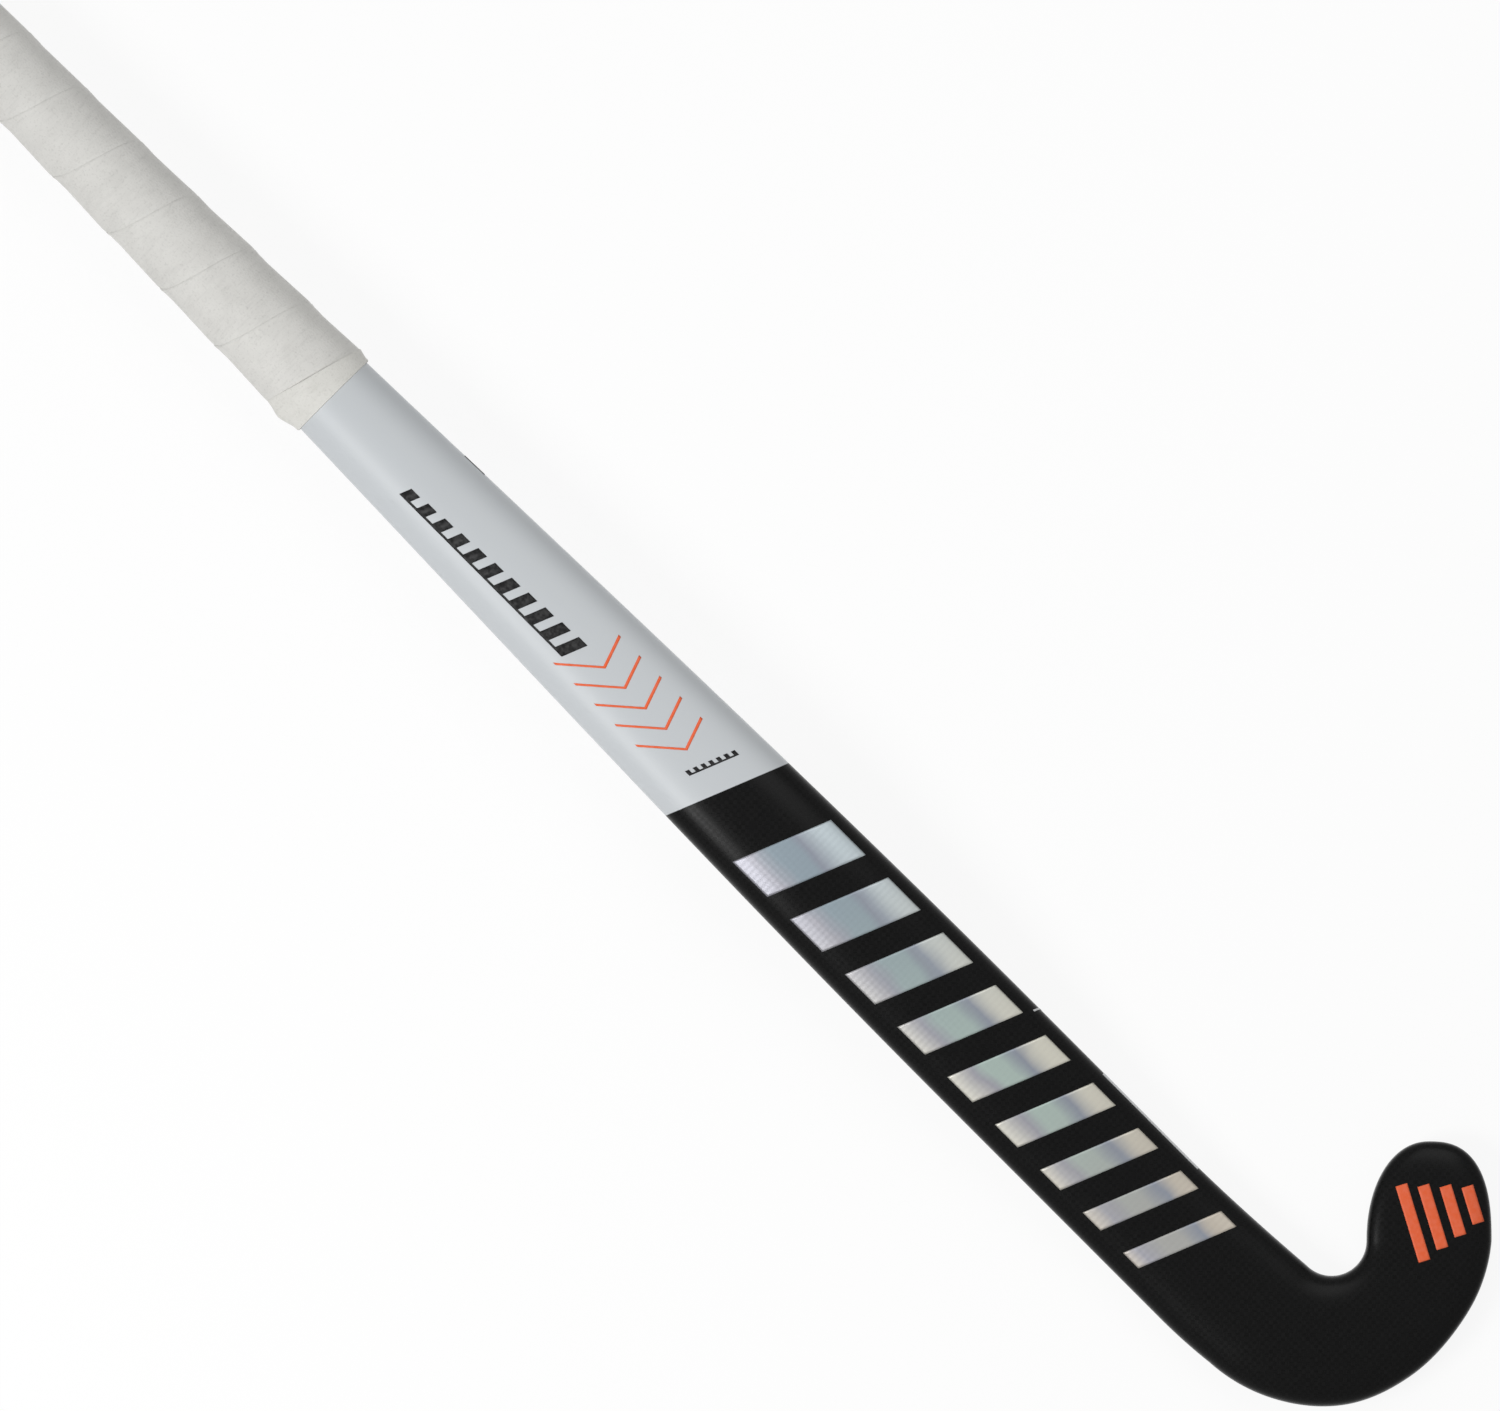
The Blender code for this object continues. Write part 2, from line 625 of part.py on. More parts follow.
def grip_tape():
    """The grip: one unbroken tape whose every turn lies over the edge of the turn before."""
    turns, angle, lower, start, end = tape_course()
    room = (end - start)[:, None]
    from_lower = (start - lower)[:, None]
    to_upper = (end - lower)[:, None]
    low_knots = from_lower + room * np.array([[0.0, TAPE_LAP / TAPE_WIDTH]])
    least = from_lower + room * np.array([RAMP_ROOM])
    most = to_upper - room * (RAMP_REST - np.array([RAMP_ROOM]))
    ramp_knots = np.clip(np.array([[RAMP_START, RAMP_END]]), least, most)
    across = np.hstack([low_knots, ramp_knots, to_upper])
    under, upper = tape_points(turns, angle, lower, start, end, across)
    rings = np.concatenate([upper[:, [0, 1, 2, 4]], under[:, [4, 3, 2, 0]]], axis=1)
    loft("grip_tape", rings, GRIP_TAPE, cap_start=True, cap_end=True)
    print("least gap between turns of the tape:", round(1000 * tape_gap(rings), 3), "mm")


def tape_gap(rings):
    """Least distance between a turn's points and the points of the turn that lies over it."""
    shares = np.linspace(0.0, 1.0, GAP_SAMPLES + 1)[:-1, None, None]
    following = np.roll(rings, -1, axis=1)
    dense = np.concatenate([blend(rings, following, share) for share in shares], axis=1)
    least = np.inf
    for step in range(POINTS_PER_TURN - 1, len(dense)):
        near = dense[max(step - POINTS_PER_TURN - 1, 0) : step - POINTS_PER_TURN + 2]
        apart = dense[step][:, None, :] - near.reshape(-1, 3)[None]
        least = min(least, float(np.sqrt((apart**2).sum(axis=-1)).min()))
    return least


def finishing_band():
    """The band that closes the grip: square to the shaft below, slanted where it meets the tape."""
    angle = np.linspace(0.0, 2 * math.pi, POINTS_PER_TURN + 1)[:-1] + math.pi / POINTS_PER_TURN
    share = np.linspace(0.0, 1.0, BAND_ROWS + 1)[:, None]
    along = blend(BAND_END, grip_cut(angle) - CLEARANCE, share)
    bell = np.exp(-(((along - BAND_END - BAND_SWELL_AT) / BAND_SWELL_WIDTH) ** 2))
    swell = blend(BAND_SWELL, BAND_HOOK_SWELL, 0.5 + 0.5 * np.cos(angle))
    outer = wound(angle + 0 * along, along, BAND_EDGE + swell * bell)
    inner = wound(angle + 0 * along, along, CLEARANCE + 0 * along)
    loft("finishing_band", [*outer, *inner[::-1]], BAND_TAPE, close=True)


def foil_bars():
    """Silver bars down the blade, wide near the paint line and narrow towards the head."""
    widths = np.linspace(FOIL_WIDEST, FOIL_NARROWEST, FOIL_COUNT)
    gap = (FOIL_TOP - FOIL_BOTTOM - widths.sum()) / max(FOIL_COUNT - 1, 1)
    side = np.linspace(FOIL_HEEL_SIDE, FOIL_HOOK_SIDE, FOIL_SIDE_STEPS + 1)[None, :]
    top = FOIL_TOP
    for number, width in enumerate(widths, start=1):
        along = np.linspace(top, top - width, FOIL_LONG_STEPS + 1)[:, None] - LEAN * side
        grid = draped(side + 0 * along, along, -CLEARANCE)
        film(f"foil_bar_{number}", grid, all_faces(grid), FOIL)
        top -= width + gap


def chevrons():
    """Thin orange chevrons above the paint line, pointing to the head."""
    share = np.linspace(-1.0, 1.0, CHEVRON_POINTS)[None, :]
    side = CHEVRON_REACH * share
    for number in range(CHEVRON_COUNT):
        tip = CHEVRON_START + number * CHEVRON_PITCH
        edge = np.array([CHEVRON_LINE, 0.0])[:, None]
        along = tip + edge - LEAN * side + CHEVRON_RISE * np.abs(share)
        grid = draped(side + 0 * along, along, -CLEARANCE)
        film(f"chevron_{number + 1}", grid, all_faces(grid), ORANGE)


def scale_grid(starts, width, foot, line, lengths):
    """A row of marks that stand on a fine line, as one sheet: its points and its faces.

    starts are the marks' places along, foot is the side of the line they stand on, and lengths
    are measured from the foot. The line runs under the gaps as well, the marks do not.
    """
    columns = np.stack([starts, starts + width], axis=-1).ravel()[:, None]
    tips = np.repeat(lengths, 2)[:, None]
    side = foot + np.hstack([0 * tips, line + 0 * tips, (line + tips) / 2, tips])
    points = draped(side, columns - LEAN * side, -CLEARANCE)
    faces = []
    for column in range(len(columns) - 1):
        for row in range(side.shape[1] - 1):
            if row == 0 or column % 2 == 0:
                faces.append(((column, row), (column, row + 1), (column + 1, row + 1), (column + 1, row)))
    return points, faces


def dash_scale():
    """Black dashes along the shaft, longest at the end nearest the head."""
    starts = DASH_START + DASH_PITCH * np.arange(DASH_COUNT)
    lengths = np.linspace(DASH_LONGEST, DASH_SHORTEST, DASH_COUNT)
    film("dash_scale", *scale_grid(starts, DASH_WIDTH, DASH_FOOT, DASH_LINE, lengths), BLACK)


def tick_scale():
    """Small black ticks on a fine line across the shaft, above the paint line."""
    starts = TICK_SIDE + TICK_PITCH * np.arange(TICK_COUNT)
    side = np.stack([starts, starts + TICK_WIDTH], axis=-1).ravel()
    rows = TICK_ALONG + np.array([0.0, TICK_LINE, TICK_HEIGHT])
    points = draped(side[:, None] + 0 * rows, rows - LEAN * side[:, None], -CLEARANCE)
    faces = []
    for column in range(len(side) - 1):
        for row in range(len(rows) - 1):
            if row == 0 or column % 2 == 0:
                faces.append(((column, row), (column + 1, row), (column + 1, row + 1), (column, row + 1)))
    film("tick_scale", points, faces, BLACK)


def toe_bars():
    """Orange bars side by side on the toe, each shorter than the last."""
    long_way = np.array([math.cos(TOE_BAR_TURN), math.sin(TOE_BAR_TURN)])
    short_way = np.array([long_way[1], -long_way[0]])
    middle = (TOE_BAR_COUNT - 1) / 2
    edges = np.array([-TOE_BAR_WIDTH / 2, TOE_BAR_WIDTH / 2])
    for number, length in enumerate(np.linspace(TOE_BAR_LONGEST, TOE_BAR_SHORTEST, TOE_BAR_COUNT)):
        reach = np.linspace(-length / 2, length / 2, TOE_BAR_POINTS)[None, :, None]
        step = ((number - middle) * TOE_BAR_PITCH + edges)[:, None, None]
        plan = np.array(TOE_BAR_PLACE) + long_way * reach + short_way * step
        grid = draped(plan[..., 0], plan[..., 1], -CLEARANCE)
        film(f"toe_bar_{number + 1}", grid, all_faces(grid), ORANGE)


def edge_strip(name, start, end, finish):
    """A strip on the shaft's edge on the hook's side, wrapped round the equator."""
    angle = np.linspace(EDGE_HIGH, EDGE_LOW, EDGE_POINTS)
    table = (np.cos(angle), np.sin(angle), np.ones(len(angle)))
    grid = skin(shaft_stations(start, end), -CLEARANCE, table)[::-1]
    film(name, grid, all_faces(grid), finish)


def build():
    for old in list(bpy.data.objects):
        bpy.data.objects.remove(old)

    carbon_shell()
    head_core()
    core_start = HEAD_CORE_END + CLEARANCE
    centre_bridge(core_start, SIDE_CORE_END)
    side_core("heel_side_core", -1, core_start, SIDE_CORE_END)
    side_core("hook_side_core", 1, core_start, SIDE_CORE_END)
    plug_start = SHELL_END - PLUG_LENGTH
    handle_core(SIDE_CORE_END + CLEARANCE, plug_start - CLEARANCE)
    butt_plug(plug_start)
    butt_cap()
    sleeve("grip_underlay", shaft_stations(UNDERLAY_END, SHELL_END), CLEARANCE, UNDERLAY_TOP, UNDERLAY_FILM)
    grip_tape()
    finishing_band()
    foil_bars()
    chevrons()
    dash_scale()
    tick_scale()
    toe_bars()
    edge_strip("edge_bar_white", *EDGE_BAR_WHITE, WHITE)
    edge_strip("edge_mark", *EDGE_MARK, WHITE)
    edge_strip("edge_bar_dark", *EDGE_BAR_DARK, BLACK)


build()
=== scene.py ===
# %% [markdown]
# # An indoor hockey stick
# The real stick is one hollow carbon moulding with a flat face, a rounded back, a wound grip and a
# few printed transfers. Its solids come from the frame. This lesson gives them their looks: a fine
# skin for the faceted shell, transfers that hug it, a wound tape, and a finish for what is inside.

# %% Load the frame
import math
from typing import NamedTuple

import bmesh
import bpy
import numpy as np
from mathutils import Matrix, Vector


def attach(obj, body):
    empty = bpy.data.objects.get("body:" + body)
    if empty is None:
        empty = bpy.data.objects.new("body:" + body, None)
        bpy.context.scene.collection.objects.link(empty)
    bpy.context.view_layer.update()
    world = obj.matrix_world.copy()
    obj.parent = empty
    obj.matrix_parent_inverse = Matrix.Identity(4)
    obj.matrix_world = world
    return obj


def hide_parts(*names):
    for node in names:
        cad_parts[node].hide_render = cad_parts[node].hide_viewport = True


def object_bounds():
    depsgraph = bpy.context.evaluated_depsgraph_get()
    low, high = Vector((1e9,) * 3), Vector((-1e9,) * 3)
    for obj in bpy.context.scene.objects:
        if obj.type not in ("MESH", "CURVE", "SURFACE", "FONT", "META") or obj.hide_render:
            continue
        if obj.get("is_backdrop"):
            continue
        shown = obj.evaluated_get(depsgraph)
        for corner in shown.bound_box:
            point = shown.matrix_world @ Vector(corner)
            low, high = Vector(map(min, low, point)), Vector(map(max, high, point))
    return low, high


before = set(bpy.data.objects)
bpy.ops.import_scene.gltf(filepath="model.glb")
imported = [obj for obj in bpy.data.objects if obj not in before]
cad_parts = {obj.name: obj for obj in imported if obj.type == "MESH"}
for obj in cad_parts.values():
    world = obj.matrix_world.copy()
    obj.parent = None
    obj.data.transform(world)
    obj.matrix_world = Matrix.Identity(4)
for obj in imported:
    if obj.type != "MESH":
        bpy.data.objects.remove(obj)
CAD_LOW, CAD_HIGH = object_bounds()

print("solids in the frame:", len(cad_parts), "size:", [round(c, 4) for c in CAD_HIGH - CAD_LOW])

# %% [markdown]
# ## The camera
# The photograph looks squarely at the rounded back, with the stick at 45 degrees across it. A long
# lens from high above gives the same flat view, and a turn about the vertical the same slant. The
# picture is 545 mm wide on the object.

# %% The camera
SCENE = bpy.context.scene
PHOTO_WIDTH = 1500
PIXELS_PER_METRE = 2750
VIEW_MIDDLE = (-0.2835, 0.0276)
VIEW_TURN = math.radians(45.06)
CAMERA_HEIGHT = 12.0
FOCUS_HEIGHT = 0.020
SENSOR = 36.0
CLIP_END = 100.0


def linked(name, data):
    """A new object of the scene, with a camera, a lamp or a mesh as its data."""
    made = bpy.data.objects.new(name, data)
    SCENE.collection.objects.link(made)
    return made


def overhead_camera():
    """Lens = sensor width x distance / width of the view, as similar triangles give it."""
    data = bpy.data.cameras.new("camera")
    data.sensor_width = SENSOR
    data.lens = SENSOR * (CAMERA_HEIGHT - FOCUS_HEIGHT) / (PHOTO_WIDTH / PIXELS_PER_METRE)
    data.clip_end = CLIP_END
    SCENE.camera = linked("camera", data)
    SCENE.camera.location = (*VIEW_MIDDLE, CAMERA_HEIGHT)
    SCENE.camera.rotation_euler = (0.0, 0.0, VIEW_TURN)


overhead_camera()
print("lens:", round(SCENE.camera.data.lens, 1), "mm")

# %% [markdown]
# ## A small language for finishes
# A finish is a tree of shader nodes, and two small classes keep its wiring readable. A Wire is an
# output that takes part in sums, each of which adds a Math node. A Tree makes any other node. Then
# material() makes a tree, has a function work out its surface, and ends it.

# %% Wires and trees


def reckoned(operation, last=False):
    """A method that adds a Math node, with the wire itself as its first or its last value."""
    def method(self, *others):
        values = (*others, self) if last else (self, *others)
        return self.tree.node("Math", {"operation": operation}, dict(enumerate(values)))
    return method


class Wire:
    """An output of a node, with the arithmetic that a finish needs."""

    def __init__(self, tree, socket):
        self.tree = tree
        self.socket = socket

    __add__ = reckoned("ADD")
    __radd__ = reckoned("ADD", last=True)
    __sub__ = reckoned("SUBTRACT")
    __rsub__ = reckoned("SUBTRACT", last=True)
    __mul__ = reckoned("MULTIPLY")
    __rmul__ = reckoned("MULTIPLY", last=True)
    __mod__ = reckoned("FLOORED_MODULO")
    floor = reckoned("FLOOR")
    sine = reckoned("SINE")
    below = reckoned("LESS_THAN")

    def step(self, low, high):
        """0 up to low, 1 from high, and a smooth rise between."""
        inputs = {"Value": self, "From Min": low, "From Max": high}
        return self.tree.node("MapRange", {"interpolation_type": "SMOOTHSTEP"}, inputs)


def opaque(value):
    """A colour gets its alpha of 1. Anything else stays as it is."""
    return (*value, 1.0) if isinstance(value, tuple) and len(value) == 3 else value


class Tree:
    """The node tree of a material or of the world."""

    def __init__(self, nodes_of):
        nodes_of.use_nodes = True
        self.owner = nodes_of
        self.nodes = nodes_of.node_tree.nodes
        self.links = nodes_of.node_tree.links
        self.nodes.clear()

    def node(self, kind, settings=None, inputs=None, output=0):
        """Adds a node: its settings, its ramp's stops, then the values or wires of its inputs."""
        made = self.nodes.new("ShaderNode" + kind)
        for name, value in (settings or {}).items():
            if name == "stops":
                elements = made.color_ramp.elements
                while len(elements) < len(value):
                    elements.new(1.0)
                for element, (place, colour) in zip(elements, value):
                    element.position = place
                    element.color = opaque(colour)
            else:
                setattr(made, name, value)
        for name, value in (inputs or {}).items():
            if isinstance(value, Wire):
                self.links.new(value.socket, made.inputs[name])
            else:
                made.inputs[name].default_value = value
        return None if output is None else Wire(self, made.outputs[output])

    def colour_mix(self, factor, first, second):
        """First where factor is 0, second where it is 1."""
        inputs = {0: factor, 6: opaque(first), 7: opaque(second)}
        return self.node("Mix", {"data_type": "RGBA"}, inputs, output=2)

    def place(self):
        """Object coordinates: metres in the frame, because every piece sits at the origin."""
        return self.node("TexCoord", output="Object")

    def parts(self, vector):
        return [self.node("SeparateXYZ", None, {0: vector}, output=axis) for axis in "XYZ"]

    def mapping(self, vector, scale=(1.0, 1.0, 1.0), turn=0.0):
        """A vector that is scaled, then turned about the vertical."""
        inputs = {"Vector": vector, "Rotation": (0.0, 0.0, turn), "Scale": scale}
        return self.node("Mapping", None, inputs)

    def noise(self, size, detail=2.0, vector=None):
        """Smooth noise from 0 to 1 whose lumps are about size metres across."""
        inputs = {"Vector": vector or self.place(), "Scale": 1.0 / size, "Detail": detail}
        return self.node("TexNoise", None, inputs)

    def bump(self, height, depth):
        """A normal from a height that runs from 0 to 1, depth metres deep."""
        inputs = {"Height": height, "Distance": depth, "Strength": 1.0}
        return self.node("Bump", None, inputs)

    def shader(self, **inputs):
        """A Principled shader. Underscores in the names stand for spaces."""
        named = {name.replace("_", " "): opaque(value) for name, value in inputs.items()}
        return self.node("BsdfPrincipled", None, named)

    def finish(self, surface):
        made = "World" if isinstance(self.owner, bpy.types.World) else "Material"
        self.node("Output" + made, None, {"Surface": surface}, output=None)
        return self.owner


def material(name, surface_of, *values):
    tree = Tree(bpy.data.materials.new(name))
    return tree.finish(surface_of(tree, *values))


print("wires and trees are ready")

# %% [markdown]
# ## The studio
# The photograph has a pure white ground, and a soft light at its left that leaves the hook's side
# of the back in shade. Here a large softbox stands on that side, a weaker one opposite, and an even
# sky fills in. A lamp's level is what a white matt surface facing it would show, so levels that add
# up to about 1 render a colour as it is written. The ground is made white by what the camera sees
# of it, not by more light, and it keeps the stick's soft shadow.

# %% Floor and lights
SKY_LEVEL = 0.28
SKY_COLOUR = (1.0, 1.0, 1.0)
FLOOR_COLOUR = (0.90, 0.90, 0.90)
FLOOR_WHITE = 0.90  # share of the floor's look that is plain white
FLOOR_SIZE = 40.0
KEY_LEVEL = 0.59
KEY_TOWARDS = (-0.10, -0.60, 0.76)
KEY_SIZE = 0.45
FILL_LEVEL = 0.29
FILL_TOWARDS = (-0.17, 0.52, 0.84)
FILL_SIZE = 0.75
LAMP_DISTANCE = 1.2


def seen(tree):
    """1 for rays of the picture, straight or reflected, and 0 for the light that falls on things."""
    kinds = ("Is Camera Ray", "Is Glossy Ray", "Is Transmission Ray")
    camera, glossy, passing = [tree.node("LightPath", output=kind) for kind in kinds]
    return camera + glossy + passing


def studio_sky():
    tree = Tree(bpy.data.worlds.new("studio_sky"))
    strength = SKY_LEVEL + (1.0 - SKY_LEVEL) * seen(tree)
    inputs = {"Color": opaque(SKY_COLOUR), "Strength": strength}
    return tree.finish(tree.node("Background", None, inputs))


def ground(tree):
    """White on top. From below it is clear, so that the flat face can be looked at."""
    matt = tree.node("BsdfDiffuse", None, {"Color": opaque(FLOOR_COLOUR)})
    white = tree.node("Emission", None, {"Strength": 1.0})
    top = tree.node("MixShader", None, {0: FLOOR_WHITE * seen(tree), 1: matt, 2: white})
    below = tree.node("NewGeometry", output="Backfacing")
    return tree.node("MixShader", None, {0: below, 1: top, 2: tree.node("BsdfTransparent")})


def studio_floor():
    mesh = bpy.data.meshes.new("studio_floor")
    corners = FLOOR_SIZE / 2 * np.array([(-1, -1, 0), (1, -1, 0), (1, 1, 0), (-1, 1, 0)])
    mesh.from_pydata(corners.tolist(), [], [(0, 1, 2, 3)])
    mesh.materials.append(material("studio_floor", ground))
    floor = linked("studio_floor", mesh)
    floor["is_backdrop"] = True


def softbox(name, towards, size, level):
    """A square lamp. Its watts are (pi x distance) squared x level."""
    data = bpy.data.lights.new(name, "AREA")
    data.size = size
    data.energy = level * (math.pi * LAMP_DISTANCE) ** 2
    lamp = linked(name, data)
    direction = Vector(towards).normalized()
    lamp.location = Vector((*VIEW_MIDDLE, 0.0)) + LAMP_DISTANCE * direction
    lamp.rotation_euler = direction.to_track_quat("Z", "Y").to_euler()
    lamp.visible_camera = False
    print(name, round(data.energy, 1), "W")


SCENE.view_settings.view_transform = "Standard"
SCENE.world = studio_sky()
studio_floor()
softbox("key_softbox", KEY_TOWARDS, KEY_SIZE, KEY_LEVEL)
softbox("fill_softbox", FILL_TOWARDS, FILL_SIZE, FILL_LEVEL)

# %% [markdown]
# ## The shape of the stick
# A place on the stick is given in plan by its side, from the shaft's middle towards the hook, and
# by how far along it lies from the end of the head. The head turns round the centre of the hook,
# and its outer edge is a smooth curve through a few breadths. The sizes are the moulding's own, so
# every piece made here fits the frame's solids.

# %% Sizes in plan
STICK_LENGTH = 0.925
FACE_POINT = 0.060  # the origin, from the end of the head
BLADE_WIDTH = 0.0486
HANDLE_WIDTH = 0.0272
TAPER = (0.190, 0.735)
HOOK_SIDE = 0.0398
HOOK_RADIUS = 0.0127
HOOK_TURN = math.radians(135)
HOOK_SAMPLES = 271
HEAD_SHARES = (0.185, 0.370, 0.555, 0.740, 0.875, 1.000)
HEAD_BREADTHS = (0.0485, 0.0471, 0.0443, 0.0430, 0.0441, 0.0455)
HEEL_EASE = 0.0014
HEEL_EASE_LENGTH = 0.024
FLARE_LENGTH = 0.060
FLARE_POWER = 1.7
TOE_LENGTH = 0.0363
TOE_SQUARENESS = 2.6
TOE_INNER_SQUARENESS = 2.1


def ease(share):
    """3 s squared - 2 s cubed: a smooth rise from 0 to 1."""
    share = np.clip(share, 0.0, 1.0)
    return share * share * (3.0 - 2.0 * share)


def blend(low, high, share):
    return low + (high - low) * share


def through(places, values, at):
    """Cubic pieces through the values, with slopes averaged from their neighbours."""
    places = np.asarray(places)
    values = np.asarray(values)
    slopes = np.gradient(values, places)
    piece = np.clip(np.searchsorted(places, at) - 1, 0, len(places) - 2)
    span = places[piece + 1] - places[piece]
    t = (at - places[piece]) / span
    level = values[piece] * (2 * t**3 - 3 * t**2 + 1) + values[piece + 1] * (3 * t**2 - 2 * t**3)
    lean = slopes[piece] * (t**3 - 2 * t**2 + t) + slopes[piece + 1] * (t**3 - t**2)
    return level + lean * span


def outer_radius(share):
    """The head's outer edge, from the centre of the hook, at a share of the hook's turn."""
    first = HOOK_SIDE - HOOK_RADIUS + BLADE_WIDTH / 2 - HEEL_EASE
    return HOOK_RADIUS + through((0.0, *HEAD_SHARES), (first, *HEAD_BREADTHS), share)


def head_reach(share):
    """From the centre of the hook to the head's middle line, and half of the head's breadth."""
    outer = outer_radius(share)
    return (outer + HOOK_RADIUS) / 2, (outer - HOOK_RADIUS) / 2


TURN_SHARES = np.linspace(0.0, 1.0, HOOK_SAMPLES)
HOOK_ALONG = float(np.max(outer_radius(TURN_SHARES) * np.sin(TURN_SHARES * HOOK_TURN)))
print("the hook's centre lies", round(1000 * HOOK_ALONG, 2), "mm from the end of the head")

# %% Edges, thickness and bow
BLADE_THICKNESS = 0.0195
TOE_THICKNESS = 0.0170
HANDLE_THICKNESS = 0.0248
THICKEN = (0.100, 0.500)
CAP_PROUD = 0.0030
BOW_HEIGHT = 0.0170
BOW = (0.062, 0.330)


def shaft_half_width(along):
    return blend(BLADE_WIDTH, HANDLE_WIDTH, ease((along - TAPER[0]) / (TAPER[1] - TAPER[0]))) / 2


def shaft_edges(along):
    """Sides of the heel's and the hook's edge. Near the hook the edge flares as (1 - s) to a power."""
    half = shaft_half_width(along)
    above = along - HOOK_ALONG
    drawn = np.clip(1 - above / HEEL_EASE_LENGTH, 0.0, 1.0) ** 2
    flared = np.clip(1 - above / FLARE_LENGTH, 0.0, 1.0) ** FLARE_POWER
    return -half + HEEL_EASE * drawn, half + (HOOK_SIDE - HOOK_RADIUS - BLADE_WIDTH / 2) * flared


def shaft_thickness(along):
    share = ease((along - THICKEN[0]) / (THICKEN[1] - THICKEN[0]))
    return blend(BLADE_THICKNESS, HANDLE_THICKNESS, share)


def head_thickness(share):
    return blend(BLADE_THICKNESS, TOE_THICKNESS, ease(share))


def bow(along):
    """Height of the flat face: 0 at the head, an arch along the shaft, a straight fall to the butt."""
    fall = BOW_HEIGHT / (STICK_LENGTH - BOW[1])
    run = BOW[1] - BOW[0]
    share = np.clip((along - BOW[0]) / run, 0.0, 1.0)
    arch = (BOW_HEIGHT + CAP_PROUD) * ease(share) + fall * run * (share**2 - share**3)
    return np.where(along > BOW[1], CAP_PROUD + fall * (STICK_LENGTH - along), arch)


print("the shaft narrows from", 1000 * BLADE_WIDTH, "to", 1000 * HANDLE_WIDTH, "mm")

# %% [markdown]
# ## A section of the stick
# Cut across, the blade is a D: flat below, rounded above, widest a little under half its height.
# The back is a superellipse, |x|^n + |y|^n = 1, whose power falls from 2.6 at the blade to 2 at the
# oval handle. Round the hook it rises to 5, so the toe is flat with a tight edge. Below the widest
# place a quarter ellipse on each hand runs into the flat strip. An inset moves the outline in, or
# out where it is negative, so one function serves every layer.

# %% Section
FACE_CORNER = 0.0065
FACE_STRIP = 0.0015
BLADE_EQUATOR = 0.42
HANDLE_EQUATOR = 0.50
BLADE_FULLNESS = 2.6
HANDLE_FULLNESS = 2.0
THROAT_FULLNESS = (2.8, 3.6)  # at the foot of the hook, on the heel's side and on the hook's
THROAT_RUN = 0.060
TOE_FULLNESS = 5.0
OVAL = (0.330, 0.520)
BACK_STEPS = 48
CORNER_STEPS = 16
NEAR_ZERO = 1e-9


def section_form(half, thick, along, turned, hand):
    """Equator height, power of the back and half of the flat strip, from toe to blade to oval."""
    oval = ease((along - OVAL[0]) / (OVAL[1] - OVAL[0]))
    equator = thick * blend(BLADE_EQUATOR, HANDLE_EQUATOR, oval)
    throat = np.where(hand > 0, THROAT_FULLNESS[1], THROAT_FULLNESS[0])
    blade = blend(BLADE_FULLNESS, throat, ease(1 - (along - HOOK_ALONG) / THROAT_RUN))
    fullness = blend(blend(blade, TOE_FULLNESS, ease(turned)), HANDLE_FULLNESS, oval)
    return equator, fullness, blend(half - FACE_CORNER, FACE_STRIP, oval)


def section(half, thick, along, inset, table, turned=0.0):
    """Offset across and height. The table holds cosine, sine and hand (1 hook, -1 heel, 0 middle)."""
    cos, sin, hand = table
    equator, fullness, strip = section_form(half, thick, along, turned, hand)
    back = (half - inset) * hand * np.abs(cos) ** (2 / fullness)
    face = hand * strip + (half - inset - strip) * cos
    rise = (thick - inset - equator) * np.abs(sin) ** (2 / fullness)
    drop = (equator - inset) * sin
    return np.where(sin >= 0, back, face), equator + np.where(sin >= 0, rise, drop)


def round_the_section():
    """From the middle of the flat face by the hook's side over the back and round to the start."""
    corner = np.linspace(-math.pi / 2, 0.0, CORNER_STEPS + 1)[:-1]
    back = np.linspace(0.0, math.pi, BACK_STEPS + 1)
    angle = np.concatenate([[-math.pi / 2], corner, back, math.pi - corner[::-1], [-math.pi / 2]])
    hand = np.where(np.abs(np.cos(angle)) < NEAR_ZERO, 0.0, np.sign(np.cos(angle)))
    hand[1] = 1.0
    hand[-2] = -1.0
    cos = np.where(hand == 0.0, 0.0, np.cos(angle))
    sin = np.where(np.abs(np.sin(angle)) < NEAR_ZERO, 0.0, np.sin(angle))
    return cos, sin, hand


RING = round_the_section()
print("points round a section:", len(RING[0]) - 1)

# %% [markdown]
# ## Stations along the stick
# Sections stand square across the straight shaft, fan round the hook, and at the toe fold forward
# until they close. A grid of stations by ring points is then the whole surface. On the toe, a
# section's offset o goes to o sin(fold)^p across and L cos(fold)^p forward, a quarter superellipse.

# %% Stations and skin
SHAFT_SPACING = 0.0025
HOOK_STEPS = 72
TOE_STEPS = 64


class Stations(NamedTuple):
    """Cross-sections along the stick, one row each."""

    middle: np.ndarray
    across: np.ndarray
    half: np.ndarray
    thick: np.ndarray
    turned: np.ndarray  # share of the hook's turn
    fold: np.ndarray


def shaft_stations(start, end, spacing=SHAFT_SPACING):
    """Square sections from start to end, either way along the shaft."""
    along = np.linspace(start, end, max(2, int(abs(end - start) / spacing) + 1))
    heel, hook = shaft_edges(along)
    middle = np.stack([(heel + hook) / 2, along], axis=-1)
    across = np.tile([1.0, 0.0], (len(along), 1))
    straight = np.full(len(along), math.pi / 2)
    return Stations(middle, across, (hook - heel) / 2, shaft_thickness(along), 0 * along, straight)


